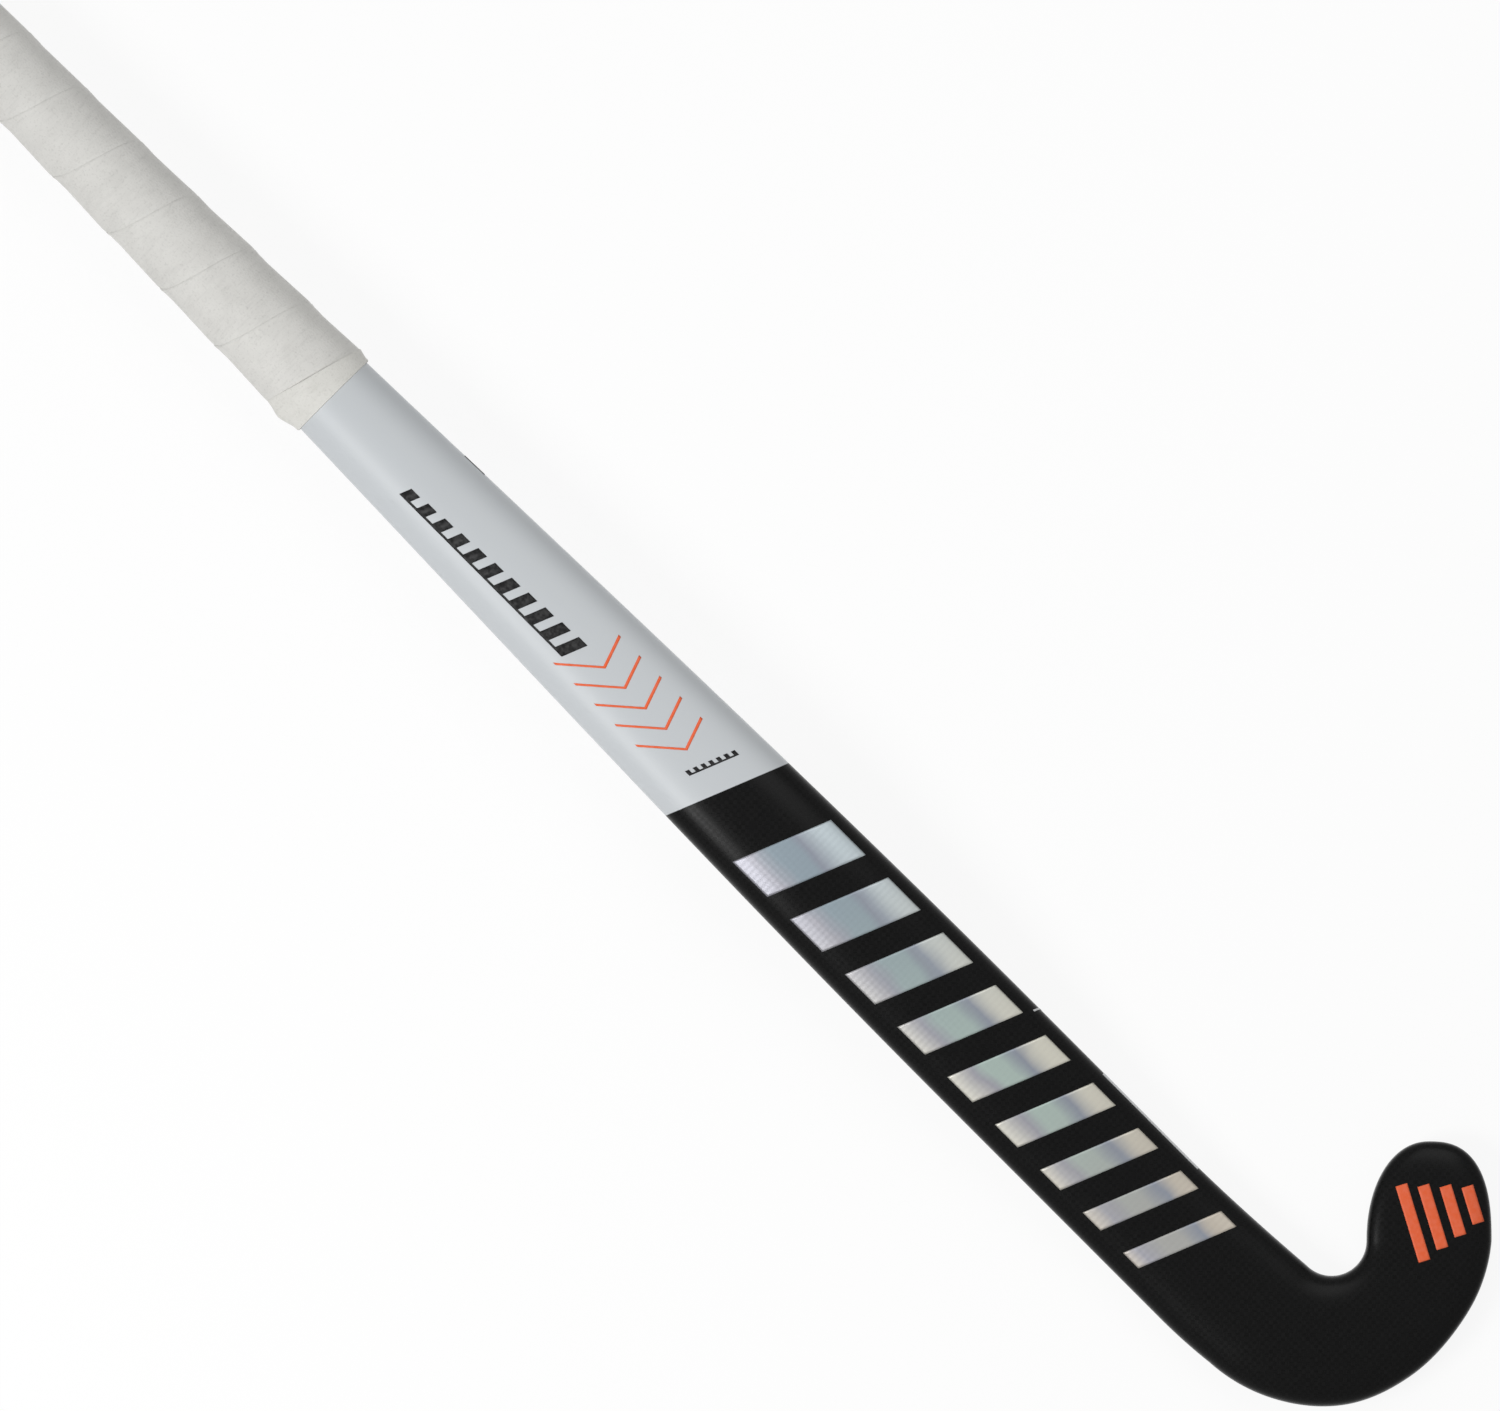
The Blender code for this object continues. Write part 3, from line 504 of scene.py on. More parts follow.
def head_stations():
    """Sections that fan round the hook, then fold forward until the toe closes."""
    share = np.concatenate([np.linspace(0.0, 1.0, HOOK_STEPS + 1)[1:], np.ones(TOE_STEPS)])
    closing = np.linspace(math.pi / 2, 0.0, TOE_STEPS + 1)[1:]
    fold = np.concatenate([np.full(HOOK_STEPS, math.pi / 2), closing])
    turn = share * HOOK_TURN
    across = np.stack([np.cos(turn), np.sin(turn)], axis=-1)
    reach, half = head_reach(share)
    middle = np.array([HOOK_SIDE, HOOK_ALONG]) - across * reach[:, None]
    return Stations(middle, across, half, head_thickness(share), share, fold)


def joined(first, second):
    return Stations(*(np.concatenate(pair) for pair in zip(first, second)))


def place(side, along, height):
    """Points of the frame from plan places and heights above the flat face."""
    return np.stack([FACE_POINT - along + 0 * side, side + 0 * along, height + bow(along)], axis=-1)


def laid_out(stations, inset, offset):
    """Plan places, side and along, of offsets across each section."""
    half = (stations.half - inset)[:, None]
    power = 2 / np.where(offset > 0, TOE_INNER_SQUARENESS, TOE_SQUARENESS)
    spread = np.sin(stations.fold)[:, None] ** power
    reach = (TOE_LENGTH - inset) * np.cos(stations.fold)[:, None] ** power
    across = stations.across[:, None, :]
    forward = np.stack([across[..., 1], -across[..., 0]], axis=-1)
    forward_by = np.where(stations.fold[:, None] < math.pi / 2, reach * np.abs(offset) / half, 0.0)
    plan = stations.middle[:, None, :] + across * (offset * spread)[..., None]
    return plan + forward * forward_by[..., None]


def skin(stations, inset=0.0):
    """Rings of points on the surface, and their plan places."""
    half, thick, turned = stations.half[:, None], stations.thick[:, None], stations.turned[:, None]
    offset, height = section(half, thick, stations.middle[:, 1:2], inset, RING, turned)
    plan = laid_out(stations, inset, offset)
    return place(plan[..., 0], plan[..., 1], height), plan


def draped(side, along, lift):
    """Points above plan places, lift over the back, on the shaft, round the hook or on the toe."""
    from_hook = side - HOOK_SIDE
    above = along - HOOK_ALONG
    turn = np.arctan2(-above, -from_hook)
    forward = from_hook * math.sin(HOOK_TURN) - above * math.cos(HOOK_TURN)
    on_shaft = (above >= 0) & (from_hook < 0)
    on_toe = ~on_shaft & (forward > 0) & (from_hook > 0)
    share = np.clip(np.where(on_toe, 1.0, turn / HOOK_TURN), 0.0, 1.0)
    heel, hook = shaft_edges(along)
    reach, head_half = head_reach(share)
    half = lift + np.where(on_shaft, (hook - heel) / 2, head_half)
    middle = np.where(on_shaft, (hook + heel) / 2, reach)
    toe_radius = -from_hook * math.cos(HOOK_TURN) - above * math.sin(HOOK_TURN)
    radius = np.where(on_toe, toe_radius, np.hypot(from_hook, above))
    offset = np.abs(np.where(on_shaft, side, radius) - middle)
    bent = np.clip(forward, 0.0, None) / (TOE_LENGTH + lift)
    power = np.where(radius < middle, TOE_INNER_SQUARENESS, TOE_SQUARENESS)
    folded = half * ((offset / half) ** power + bent**power) ** (1 / power)
    thick = np.where(on_shaft, shaft_thickness(along), head_thickness(share))
    hand = np.where(np.where(on_shaft, side > middle, radius < middle), 1.0, -1.0)
    equator, fullness, _ = section_form(half, thick, along, np.where(on_shaft, 0.0, share), hand)
    share_out = np.clip(np.where(on_toe, folded, offset) / half, 0.0, 1.0)
    rise = (thick + lift - equator) * (1 - share_out**fullness) ** (1 / fullness)
    return place(side, along, equator + rise)


print("stations on the head:", len(head_stations().half))

# %% [markdown]
# ## From a grid of points to a piece
# Every new surface below is a grid. Where a row closes into a ring, its last point repeats its
# first: the two are merged after the UV map is written, so the map has a clean seam. Normals are
# turned outwards, and hard edges marked by their angle. Last, a piece says which solids it replaces.

# %% Grid to mesh
MERGE = 2e-6
SHARP = math.radians(38)


def grid_faces(rows, columns):
    index = np.arange(rows * columns).reshape(rows, columns)
    corners = [index[:-1, :-1], index[1:, :-1], index[1:, 1:], index[:-1, 1:]]
    return np.stack(corners, axis=-1).reshape(-1, 4)


def placed(name, mesh, finish, nodes):
    """Gives a mesh its finish and an object at the origin, in place of solids of the frame."""
    mesh.materials.append(finish)
    piece = linked(name, mesh)
    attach(piece, "root")
    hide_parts(*nodes)
    return piece


def add_piece(name, points, finish, nodes, uv=None, ends=False):
    """Makes a piece from a grid of rings. Ends closes its first and last ring with a face."""
    rows, columns = points.shape[:2]
    faces = grid_faces(rows, columns).tolist()
    if ends:
        last = (rows - 1) * columns
        faces += [list(range(columns - 1)), list(range(last, last + columns - 1))]
    mesh = bpy.data.meshes.new(name)
    mesh.from_pydata(points.reshape(-1, 3).tolist(), [], faces)
    if uv is not None:
        corners = np.empty(len(mesh.loops), dtype=np.int32)
        mesh.loops.foreach_get("vertex_index", corners)
        layer = mesh.uv_layers.new(name="cloth")
        layer.data.foreach_set("uv", uv.reshape(-1, 2)[corners].astype(np.float32).ravel())
    work = bmesh.new()
    work.from_mesh(mesh)
    bmesh.ops.remove_doubles(work, verts=work.verts, dist=MERGE)
    bmesh.ops.recalc_face_normals(work, faces=work.faces)
    work.to_mesh(mesh)
    work.free()
    mesh.shade_smooth()
    mesh.set_sharp_from_angle(angle=SHARP)
    placed(name, mesh, finish, nodes)
    print(name, len(mesh.vertices), "points")


print("grids can become pieces")

# %% [markdown]
# ## Colours as they look on a screen
# Colours are judged as screen values from 0 to 255, and a shader works in light. The
# screen's curve is undone once here, so every colour below can be compared at a glance.

# %% Colours


def screen(*values):
    """((v / 255 + 0.055) / 1.055) to the power 2.4: from a screen value to light."""
    return tuple(((value / 255 + 0.055) / 1.055) ** 2.4 for value in values)


LEAN = 0.40  # how far a line moves towards the head for each unit towards the hook


def plan_wires(tree):
    """The side of a place, and how far along it lies, as wires."""
    x, y, _ = tree.parts(tree.place())
    return y, FACE_POINT - x


print("mid grey is", round(screen(128)[0], 3))

# %% [markdown]
# ## Lacquered carbon and grey paint
# The shell is one moulding with two looks. The head and blade are clear-lacquered cloth: flat
# bundles of black fibre, 1.5 mm wide and laid at 45 degrees to the shaft, pass over and under each
# other, which is only seen as a faint check. Above a slanted line the stick is sprayed pale grey,
# and the two shaders are mixed by the slanted distance to that line. The cloth follows a UV map in
# metres that carries the plan over the edges.

# %% Carbon and paint
PAINT_LINE = 0.3279
PAINT_SOFT = 0.00012
PAINT = screen(196, 200, 203)
PEEL = 0.0009  # breadth of the ripples in the paint
PEEL_DEPTH = 0.000004
TOW = 0.0015
DIAGONAL = math.radians(45)
THREADS = 3.0  # lumps of the fibres across one tow
THREAD_LENGTH = 3.0  # how many tows a lump runs along the fibres
THREAD_EDGES = (0.35, 0.65)
THREAD_SHARE = 0.65
CARBON_DARK = screen(2, 2, 2)
CARBON_LIGHT = screen(15, 15, 15)
CARBON_CLOUDS = screen(10, 10, 11)
RESIN_CLOUD = 0.012
RESIN_EDGES = (0.45, 0.75)
RESIN_SHARE = 0.35
LACQUER = 0.26  # roughness where the weft is on top
WARP_ROUGHER = 0.055
THREAD_ROUGHER = 0.04


def in_tows(tree, vector):
    """Metres along and across the shaft, as columns and rows of the slanted cloth."""
    return tree.mapping(vector, (1 / TOW, 1 / TOW, 1.0), DIAGONAL)


def plain_weave(tree, cloth):
    """1 where the warp is on top, which is where (column + row) mod 2 is under 1."""
    x, y, _ = tree.parts(cloth)
    return ((x.floor() + y.floor()) % 2.0).below(1.0)


def fibres(tree, cloth, over):
    """Fine noise drawn out along the warp where it is on top, and along the weft elsewhere."""
    along = 1 / THREAD_LENGTH
    scales = ((along, THREADS, 1.0), (THREADS, along, 1.0))
    weft, warp = [tree.noise(1.0, 1.0, tree.mapping(cloth, scale)) for scale in scales]
    return blend(weft, warp, over).step(*THREAD_EDGES)


def carbon_finish(tree):
    cloth = in_tows(tree, tree.node("UVMap", {"uv_map": "cloth"}))
    over = plain_weave(tree, cloth)
    threads = fibres(tree, cloth, over)
    clouds = tree.noise(RESIN_CLOUD, 3.0).step(*RESIN_EDGES)
    woven = tree.colour_mix(blend(over, threads, THREAD_SHARE), CARBON_DARK, CARBON_LIGHT)
    colour = tree.colour_mix(clouds * RESIN_SHARE, woven, CARBON_CLOUDS)
    roughness = LACQUER + WARP_ROUGHER * over + THREAD_ROUGHER * threads
    return tree.shader(Base_Color=colour, Roughness=roughness, Specular_IOR_Level=0.085)


def paint_finish(tree):
    peel = tree.bump(tree.noise(PEEL, 1.0), PEEL_DEPTH)
    return tree.shader(Base_Color=PAINT, Roughness=0.38, Specular_IOR_Level=0.22, Normal=peel)


def shell_finish(tree):
    side, along = plan_wires(tree)
    slanted = along + LEAN * side
    painted = slanted.step(PAINT_LINE - PAINT_SOFT, PAINT_LINE + PAINT_SOFT)
    return tree.node("MixShader", None, {0: painted, 1: carbon_finish(tree), 2: paint_finish(tree)})


SHELL_FINISH = material("lacquered_carbon_and_paint", shell_finish)
print("shell finish:", len(SHELL_FINISH.node_tree.nodes), "nodes")

# %% [markdown]
# ## The shell
# The shell is a skin with an inside 3 mm in, joined round the open butt end. Both are the same
# surface with another inset, and the whole is one grid: from the toe up the outside, over the rim,
# and down the inside to the toe again.

# %% Carbon shell
WALL = 0.0030
CLEARANCE = 0.0003
CAP_THICKNESS = 0.0040
SHELL_END = STICK_LENGTH - CAP_THICKNESS - CLEARANCE
INNER_SPACING = 0.010


def stick_stations(spacing):
    return joined(shaft_stations(SHELL_END, HOOK_ALONG, spacing), head_stations())


def cloth_map(points, plan, stations):
    """Plan place, pushed outwards by how much longer the way over the surface is than the plan."""
    middle = plan.shape[1] // 2
    steps = np.linalg.norm(np.diff(points, axis=1), axis=-1)
    run = np.concatenate([np.zeros((len(points), 1)), np.cumsum(steps, axis=1)], axis=1)
    arc = np.abs(run - run[:, middle : middle + 1])
    outward = plan - plan[:, middle : middle + 1]
    planar = np.linalg.norm(outward, axis=-1)[..., None]
    hand = np.where(np.arange(plan.shape[1]) < middle, 1.0, -1.0)[None, :, None]
    straight = stations.across[:, None, :] * hand
    direction = np.where(planar > CLEARANCE, outward / np.maximum(planar, CLEARANCE), straight)
    return plan + direction * np.maximum(arc[..., None] - planar, 0.0)


def carbon_shell():
    outside = stick_stations(SHAFT_SPACING)
    inside = stick_stations(INNER_SPACING)
    outer, outer_plan = skin(outside)
    inner, inner_plan = skin(inside, WALL)
    cloth = cloth_map(outer, outer_plan, outside)
    points = np.concatenate([outer[::-1], inner])
    uv = np.concatenate([cloth[::-1], inner_plan])
    add_piece("carbon_shell_skin", points, SHELL_FINISH, ["carbon_shell"], uv=uv)


carbon_shell()

# %% [markdown]
# ## Transfers
# Foil and ink reach the stick as transfers. Each is a thin sheet here: a grid of plan places
# dropped onto the back, 0.03 mm off the skin to keep the two surfaces apart in the render, then
# given its thickness by a Solidify modifier.

# %% A transfer from plan places
LIFT = 0.00003
TRANSFER = 0.00006
STEP = 0.0008  # longest side of a face of a transfer


def steps_over(length):
    return max(1, round(abs(length) / STEP))


def evenly(start, end):
    return np.linspace(start, end, steps_over(end - start) + 1)


def add_transfer(name, points, finish, gaps=None):
    """Makes a sheet from a grid of points, without the faces in the gaps, thickened outwards."""
    rows, columns = points.shape[:2]
    keep = np.ones((rows - 1, columns - 1), dtype=bool)
    if gaps:
        keep[gaps] = False
    faces = grid_faces(rows, columns)[keep.ravel()]
    used, faces = np.unique(faces, return_inverse=True)
    mesh = bpy.data.meshes.new(name + "_print")
    mesh.from_pydata(points.reshape(-1, 3)[used].tolist(), [], faces.reshape(-1, 4).tolist())
    mesh.shade_smooth()
    piece = placed(name + "_print", mesh, finish, [name])
    thick = piece.modifiers.new("thickness", "SOLIDIFY")
    thick.thickness = TRANSFER
    thick.offset = 1.0
    thick.use_even_offset = True


def sheet_of(name, side, along, finish, gaps=None):
    """A transfer from a grid of plan places: rows run to the head, columns to the hook."""
    side, along = np.broadcast_arrays(side, along)
    add_transfer(name, draped(side, along, LIFT), finish, gaps)


print("a transfer is", 1000 * TRANSFER, "mm thick")

# %% [markdown]
# ## Silver foil
# Foil is a film of metal that mirrors the white room softly, and thin-film colour runs across it:
# mint and lilac in the middle, cream and pearl at the edges. Those paler edges are partly painted
# highlight, and a dusk band near the hook's edge is painted shade.
# Three ramps over the side of the stick, for the head's end, the middle and the paint's end, are
# mixed by how far along the place lies. The cloth below shows in the foil as a fine relief.

# %% Foil finish
# cream, ivory and pearl are real thin-film tints, and their paleness at the foil's edges is partly
# painted highlight
CREAM = screen(167, 160, 149)
IVORY = screen(182, 180, 169)
PEARL = screen(157, 166, 170)
MINT = screen(151, 165, 159)
LILAC = screen(139, 139, 146)
SKY = screen(127, 139, 147)
SILVER = screen(151, 151, 148)
# dusk is painted shade: it darkens the foil near the hook's edge
DUSK_SHADE = screen(126, 131, 141)
FOIL_LOW = 0.100
FOIL_MIDDLE = 0.175
FOIL_HIGH = 0.290
FOIL_SIDES = (-0.018, 0.018)
FOIL_CLOUD = 0.015
FOIL_WANDER = 0.006  # how far the tints drift to one side
WEAVE_DEPTH = 0.00003
# each ramp runs from the heel's edge to the hook's: real tints, paler at both edges as painted
# highlight, with dusk as painted shade
LOW_TINTS_AND_PAINTED_LIGHT = [(0.0, CREAM), (0.16, LILAC), (0.45, SILVER), (0.70, SILVER), (0.92, DUSK_SHADE), (1.0, CREAM)]
MIDDLE_TINTS_AND_PAINTED_LIGHT = [(0.0, IVORY), (0.28, LILAC), (0.45, MINT), (0.70, MINT), (0.90, DUSK_SHADE), (1.0, IVORY)]
HIGH_TINTS_AND_PAINTED_LIGHT = [(0.0, LILAC), (0.20, LILAC), (0.45, SKY), (0.74, SKY), (0.84, DUSK_SHADE), (1.0, PEARL)]


def weave_height(tree):
    """sin(pi x / tow) sin(pi y / tow), with x and y at 45 degrees to the shaft."""
    x, y, _ = tree.parts(tree.mapping(tree.place(), turn=DIAGONAL))
    return (x * (math.pi / TOW)).sine() * (y * (math.pi / TOW)).sine() * 0.5 + 0.5


def foil_finish(tree):
    side, along = plan_wires(tree)
    wander = tree.noise(FOIL_CLOUD) * FOIL_WANDER
    across = {"Fac": (side + wander).step(*FOIL_SIDES)}
    ramps = [{"stops": stops} for stops in (LOW_TINTS_AND_PAINTED_LIGHT, MIDDLE_TINTS_AND_PAINTED_LIGHT, HIGH_TINTS_AND_PAINTED_LIGHT)]
    low, middle, high = [tree.node("ValToRGB", ramp, across) for ramp in ramps]
    below = tree.colour_mix(along.step(FOIL_LOW, FOIL_MIDDLE), low, middle)
    colour = tree.colour_mix(along.step(FOIL_MIDDLE, FOIL_HIGH), below, high)
    imprint = tree.bump(weave_height(tree), WEAVE_DEPTH)
    return tree.shader(Base_Color=colour, Metallic=0.8, Roughness=0.45, Normal=imprint)


FOIL_FINISH = material("silver_foil", foil_finish)
print("foil finish is ready")

# %% [markdown]
# ## Foil bars
# Nine plain bars of foil run down the blade. Both of their long edges lean by the same 0.40 as the
# paint line, and they shrink towards the head.

# %% Foil bars
FOIL_COUNT = 9
FOIL_TOP = 0.301
FOIL_BOTTOM = 0.092
FOIL_WIDEST = 0.018
FOIL_NARROWEST = 0.008
FOIL_EDGES = (-0.017, 0.019)


def foil_bars():
    widths = np.linspace(FOIL_WIDEST, FOIL_NARROWEST, FOIL_COUNT)
    gap = (FOIL_TOP - FOIL_BOTTOM - widths.sum()) / (FOIL_COUNT - 1)
    across = evenly(*FOIL_EDGES)[None, :]
    tops = FOIL_TOP - np.concatenate([[0.0], np.cumsum(widths[:-1] + gap)])
    for number, (top, width) in enumerate(zip(tops, widths), start=1):
        along = top - evenly(0.0, width)[:, None] - LEAN * across
        sheet_of(f"foil_bar_{number}", across, along, FOIL_FINISH)
    print(FOIL_COUNT, "foil bars,", round(1000 * gap, 2), "mm apart")


foil_bars()

# %% [markdown]
# ## Inks
# Screen-printed ink is an even, satin colour, with a little mottling where the screen left more or
# less of it. Orange, black and white differ only in their colour.

# %% Inks
INK_GRAIN = 0.0016
INK_PALER = 0.03  # how far its thin places go towards white
GRAIN_EDGES = (0.3, 0.7)


def mottled(tree, height, colour, paler):
    """The colour, and up to paler of the way to white where the height is large."""
    pale = tuple(blend(part, 1.0, paler) for part in colour)
    return tree.colour_mix(height.step(*GRAIN_EDGES), colour, pale)


def ink(tree, colour):
    tint = mottled(tree, tree.noise(INK_GRAIN), colour, INK_PALER)
    return tree.shader(Base_Color=tint, Roughness=0.45, Specular_IOR_Level=0.15)


ORANGE_INK = material("orange_ink", ink, screen(236, 104, 62))
BLACK_INK = material("black_ink", ink, screen(22, 22, 23))
WHITE_INK = material("white_ink", ink, screen(214, 216, 217))
print("three inks are ready")

# %% [markdown]
# ## Chevrons and toe bars
# Five thin orange chevrons stand above the paint line and point to the head. On the toe, four bars
# lie side by side, each shorter than the last, turned to follow the toe.

# %% Orange prints
CHEVRON_COUNT = 5
CHEVRON_START = 0.348
CHEVRON_PITCH = 0.0105
CHEVRON_REACH = 0.0120
CHEVRON_RISE = 0.0090
CHEVRON_LINE = 0.0012
TOE_BAR_COUNT = 4
TOE_BAR_PLACE = (0.0754, 0.0346)
TOE_BAR_TURN = math.radians(62)
TOE_BAR_PITCH = 0.0076
TOE_BAR_WIDTH = 0.0044
TOE_BAR_LENGTHS = (0.0290, 0.0140)


def chevrons():
    share = np.linspace(-1.0, 1.0, 2 * steps_over(CHEVRON_REACH) + 1)[None, :]
    across = CHEVRON_REACH * share
    edge = np.linspace(CHEVRON_LINE, 0.0, 3)[:, None]
    for number in range(CHEVRON_COUNT):
        tip = CHEVRON_START + number * CHEVRON_PITCH
        along = tip + edge - LEAN * across + CHEVRON_RISE * np.abs(share)
        sheet_of(f"chevron_{number + 1}", across, along, ORANGE_INK)


def toe_bars():
    """Middle + length along one direction + width across it, in plan."""
    long_way = np.array([math.cos(TOE_BAR_TURN), math.sin(TOE_BAR_TURN)])
    short_way = np.array([long_way[1], -long_way[0]])
    wide = evenly(-TOE_BAR_WIDTH / 2, TOE_BAR_WIDTH / 2)
    for number, length in enumerate(np.linspace(*TOE_BAR_LENGTHS, TOE_BAR_COUNT)):
        reach = evenly(-length / 2, length / 2)[None, :, None]
        step = ((number - (TOE_BAR_COUNT - 1) / 2) * TOE_BAR_PITCH + wide)[:, None, None]
        plan = np.array(TOE_BAR_PLACE) + long_way * reach + short_way * step
        sheet_of(f"toe_bar_{number + 1}", plan[..., 0], plan[..., 1], ORANGE_INK)


chevrons()
toe_bars()
print("chevrons and toe bars are on the back")

# %% [markdown]
# ## Scales
# A long scale of black dashes runs up the shaft, and a small one of ticks lies across it. Each is
# one sheet: the marks stand on a fine line, and the places between them are left out of the grid.

# %% Dash and tick scales
DASH_COUNT = 11
DASH_START = 0.401
DASH_PITCH = 0.0079
DASH_WIDTH = 0.0045
DASH_LENGTHS = (0.0095, 0.0045)
DASH_FOOT = -0.0083
DASH_LINE = 0.0009
TICK_COUNT = 7
TICK_ALONG = 0.3385
TICK_SIDE = -0.0060
TICK_PITCH = 0.0028
TICK_WIDTH = 0.0014
TICK_HEIGHT = 0.0024
TICK_LINE = 0.0007
MARK_STEPS = 12


def dash_scale():
    """Rows along the shaft pair up as the two edges of a dash. Columns: the line, then the dash."""
    starts = DASH_START + DASH_PITCH * np.arange(DASH_COUNT)
    rows = np.stack([starts, starts + DASH_WIDTH], axis=-1).ravel()[::-1, None]
    lengths = np.repeat(np.linspace(*DASH_LENGTHS, DASH_COUNT), 2)[::-1, None]
    dash = DASH_LINE + (lengths - DASH_LINE) * np.linspace(0.0, 1.0, MARK_STEPS + 1)[None, :]
    side = DASH_FOOT + np.hstack([0 * lengths, dash])
    sheet_of("dash_scale", side, rows - LEAN * side, BLACK_INK, np.s_[1::2, 1:])


def tick_scale():
    """Columns across the shaft pair up as the two edges of a tick. Rows: the tick, then the line."""
    starts = TICK_SIDE + TICK_PITCH * np.arange(TICK_COUNT)
    side = np.stack([starts, starts + TICK_WIDTH], axis=-1).ravel()[None, :]
    rows = TICK_ALONG + np.array([TICK_HEIGHT, TICK_LINE, 0.0])[:, None]
    sheet_of("tick_scale", side, rows - LEAN * side, BLACK_INK, np.s_[:1, 1::2])


dash_scale()
tick_scale()
print("two scales are on the back")

# %% [markdown]
# ## Strips on the edge
# A long white bar, a short white mark and a dark bar wrap round the edge on the hook's side. Their
# columns are angles round the section, so they follow the curve where it turns under.

# %% Edge strips
EDGE_BAR_WHITE = (0.109, 0.158)
EDGE_MARK = (0.1885, 0.1925)
EDGE_BAR_DARK = (0.471, 0.481)
MARK_WIDTH = 0.0008
WHITE_BAR_HIGH = math.radians(16)  # how far each reaches onto the back
MARK_HIGH = math.radians(27)
DARK_BAR_HIGH = math.radians(10)
EDGE_LOW = math.radians(-35)  # how far all three reach under the edge
EDGE_STEPS = 24


def wound(angle, along, off):
    """Points off the shaft's surface, at angles round it from the hook's side over the back."""
    table = (np.cos(angle), np.sin(angle), np.sign(np.cos(angle)))
    offset, height = section(shaft_half_width(along), shaft_thickness(along), along, -off, table)
    return place(offset, along, height)


def edge_strip(name, span, high, finish, width=None):
    """A strip across the whole span, or a line of one width that leans from one end to the other."""
    width = width or span[1] - span[0]
    lean = span[1] - span[0] - width
    angle = np.linspace(high, EDGE_LOW, EDGE_STEPS + 1)
    rows = span[0] + evenly(width, 0.0)[:, None]
    leaning = lean * (angle - EDGE_LOW) / (high - EDGE_LOW)
    add_transfer(name, wound(angle + 0 * rows, rows + leaning, LIFT), finish)


edge_strip("edge_bar_white", EDGE_BAR_WHITE, WHITE_BAR_HIGH, WHITE_INK)
edge_strip("edge_mark", EDGE_MARK, MARK_HIGH, WHITE_INK, MARK_WIDTH)
edge_strip("edge_bar_dark", EDGE_BAR_DARK, DARK_BAR_HIGH, BLACK_INK)
print("three strips are on the edge")

# %% [markdown]
# ## The grip tape
# One cushioned tape is wound from the butt towards the head, each turn over the edge of the turn
# before. The angle round the handle turns steadily while the tape's lower edge drops by one pitch a
# turn. Across the tape, the thickness is a wedge that is pressed thin where the next turn covers
# it, and the part that lies over the last turn is lifted by that turn's own thickness. As wound by
# hand, it is thinner on the hook's side, and its upper edge is flatter further up the handle.

# %% The tape's course
UNDERLAY_TOP = 0.0006
TAPE_SEAT = UNDERLAY_TOP + CLEARANCE
TAPE_PITCH = 0.0284
TAPE_LAP = 0.0025
TAPE_WIDTH = TAPE_PITCH + TAPE_LAP
TAPE_TONGUE = 0.006  # its width where the winding is counted from
TAPE_TIP = 0.001  # its width at both cut ends
TAPE_HEEL_EDGE = 0.5739
TURN_STEPS = 72
CLIMB = (0.70, 0.82)  # turns over which the tape first climbs onto itself
CUT_MIDDLE = 0.5406
CUT_SLANT = 0.0052


def grip_cut(angle):
    """Where the slanted cut that ends the grip lies, at an angle round the handle."""
    return CUT_MIDDLE - CUT_SLANT * np.cos(angle)


def tape_course():
    """Turns, angle, lower edge, and where the tape starts and ends across itself, at each step."""
    upper_start = SHELL_END - TAPE_TONGUE + TAPE_WIDTH
    turns_at_heel = (upper_start - TAPE_HEEL_EDGE) / TAPE_PITCH
    lowest = CUT_MIDDLE - CUT_SLANT
    first = -int((TAPE_TONGUE - TAPE_TIP) / TAPE_PITCH * TURN_STEPS)
    turns = np.arange(first, int((upper_start - lowest) / TAPE_PITCH * TURN_STEPS)) / TURN_STEPS
    angle = math.pi + 2 * math.pi * (turns_at_heel - turns)
    lower = upper_start - TAPE_WIDTH - TAPE_PITCH * turns
    start = np.maximum(lower, grip_cut(angle))
    end = np.minimum(lower + TAPE_WIDTH, SHELL_END)
    going = end - start >= TAPE_TIP
    return turns[going], angle[going], lower[going], start[going], end[going]


print("the tape is wound", round(float(tape_course()[0][-1]), 1), "times")

# %% The tape's section
TAPE_THIN = 0.00025  # its lower edge, under the next turn
TAPE_THICKENS = 0.0040
ON_HEEL = ((0.00112, 0.00128), (0.00058, 0.00042))  # lower and upper edge, near the band and above
ON_HOOK = ((0.00100, 0.00055), (0.00026, 0.00020))
PULLED_FROM = 0.596  # where it changes from the one to the other
PULLED_RUN = 0.040
LAP_GAP = 0.00003
LAP_RUN = 0.0050
BEVEL = 0.0009  # over which the tape's upper edge thins out
SOFT_EDGE = 0.00035  # radius of the band's lower edge
CUT_EDGE = 0.00050  # radius of the edges that meet at the slanted cut
CUT_SHARE = 0.94  # of the thickness that they keep at the cut
EDGE_PLACES = np.array([0.0, 0.02, 0.06, 0.14, 0.35, 0.65, 1.0]) * BEVEL
EDGE_SHARE = 0.45  # of a narrow row, which the places beside one edge may take
MIDDLE_COLUMNS = 24


def rounded(distance, radius):
    """A quarter circle: 0 at an edge, 1 from one radius in."""
    share = 1.0 - np.clip(distance / radius, 0.0, 1.0)
    return np.sqrt(1.0 - share**2)


def thinned(distance, run):
    """A slope that flattens out: 0 at an edge, 1 from one run in."""
    return np.sin(math.pi / 2 * np.clip(distance / run, 0.0, 1.0))


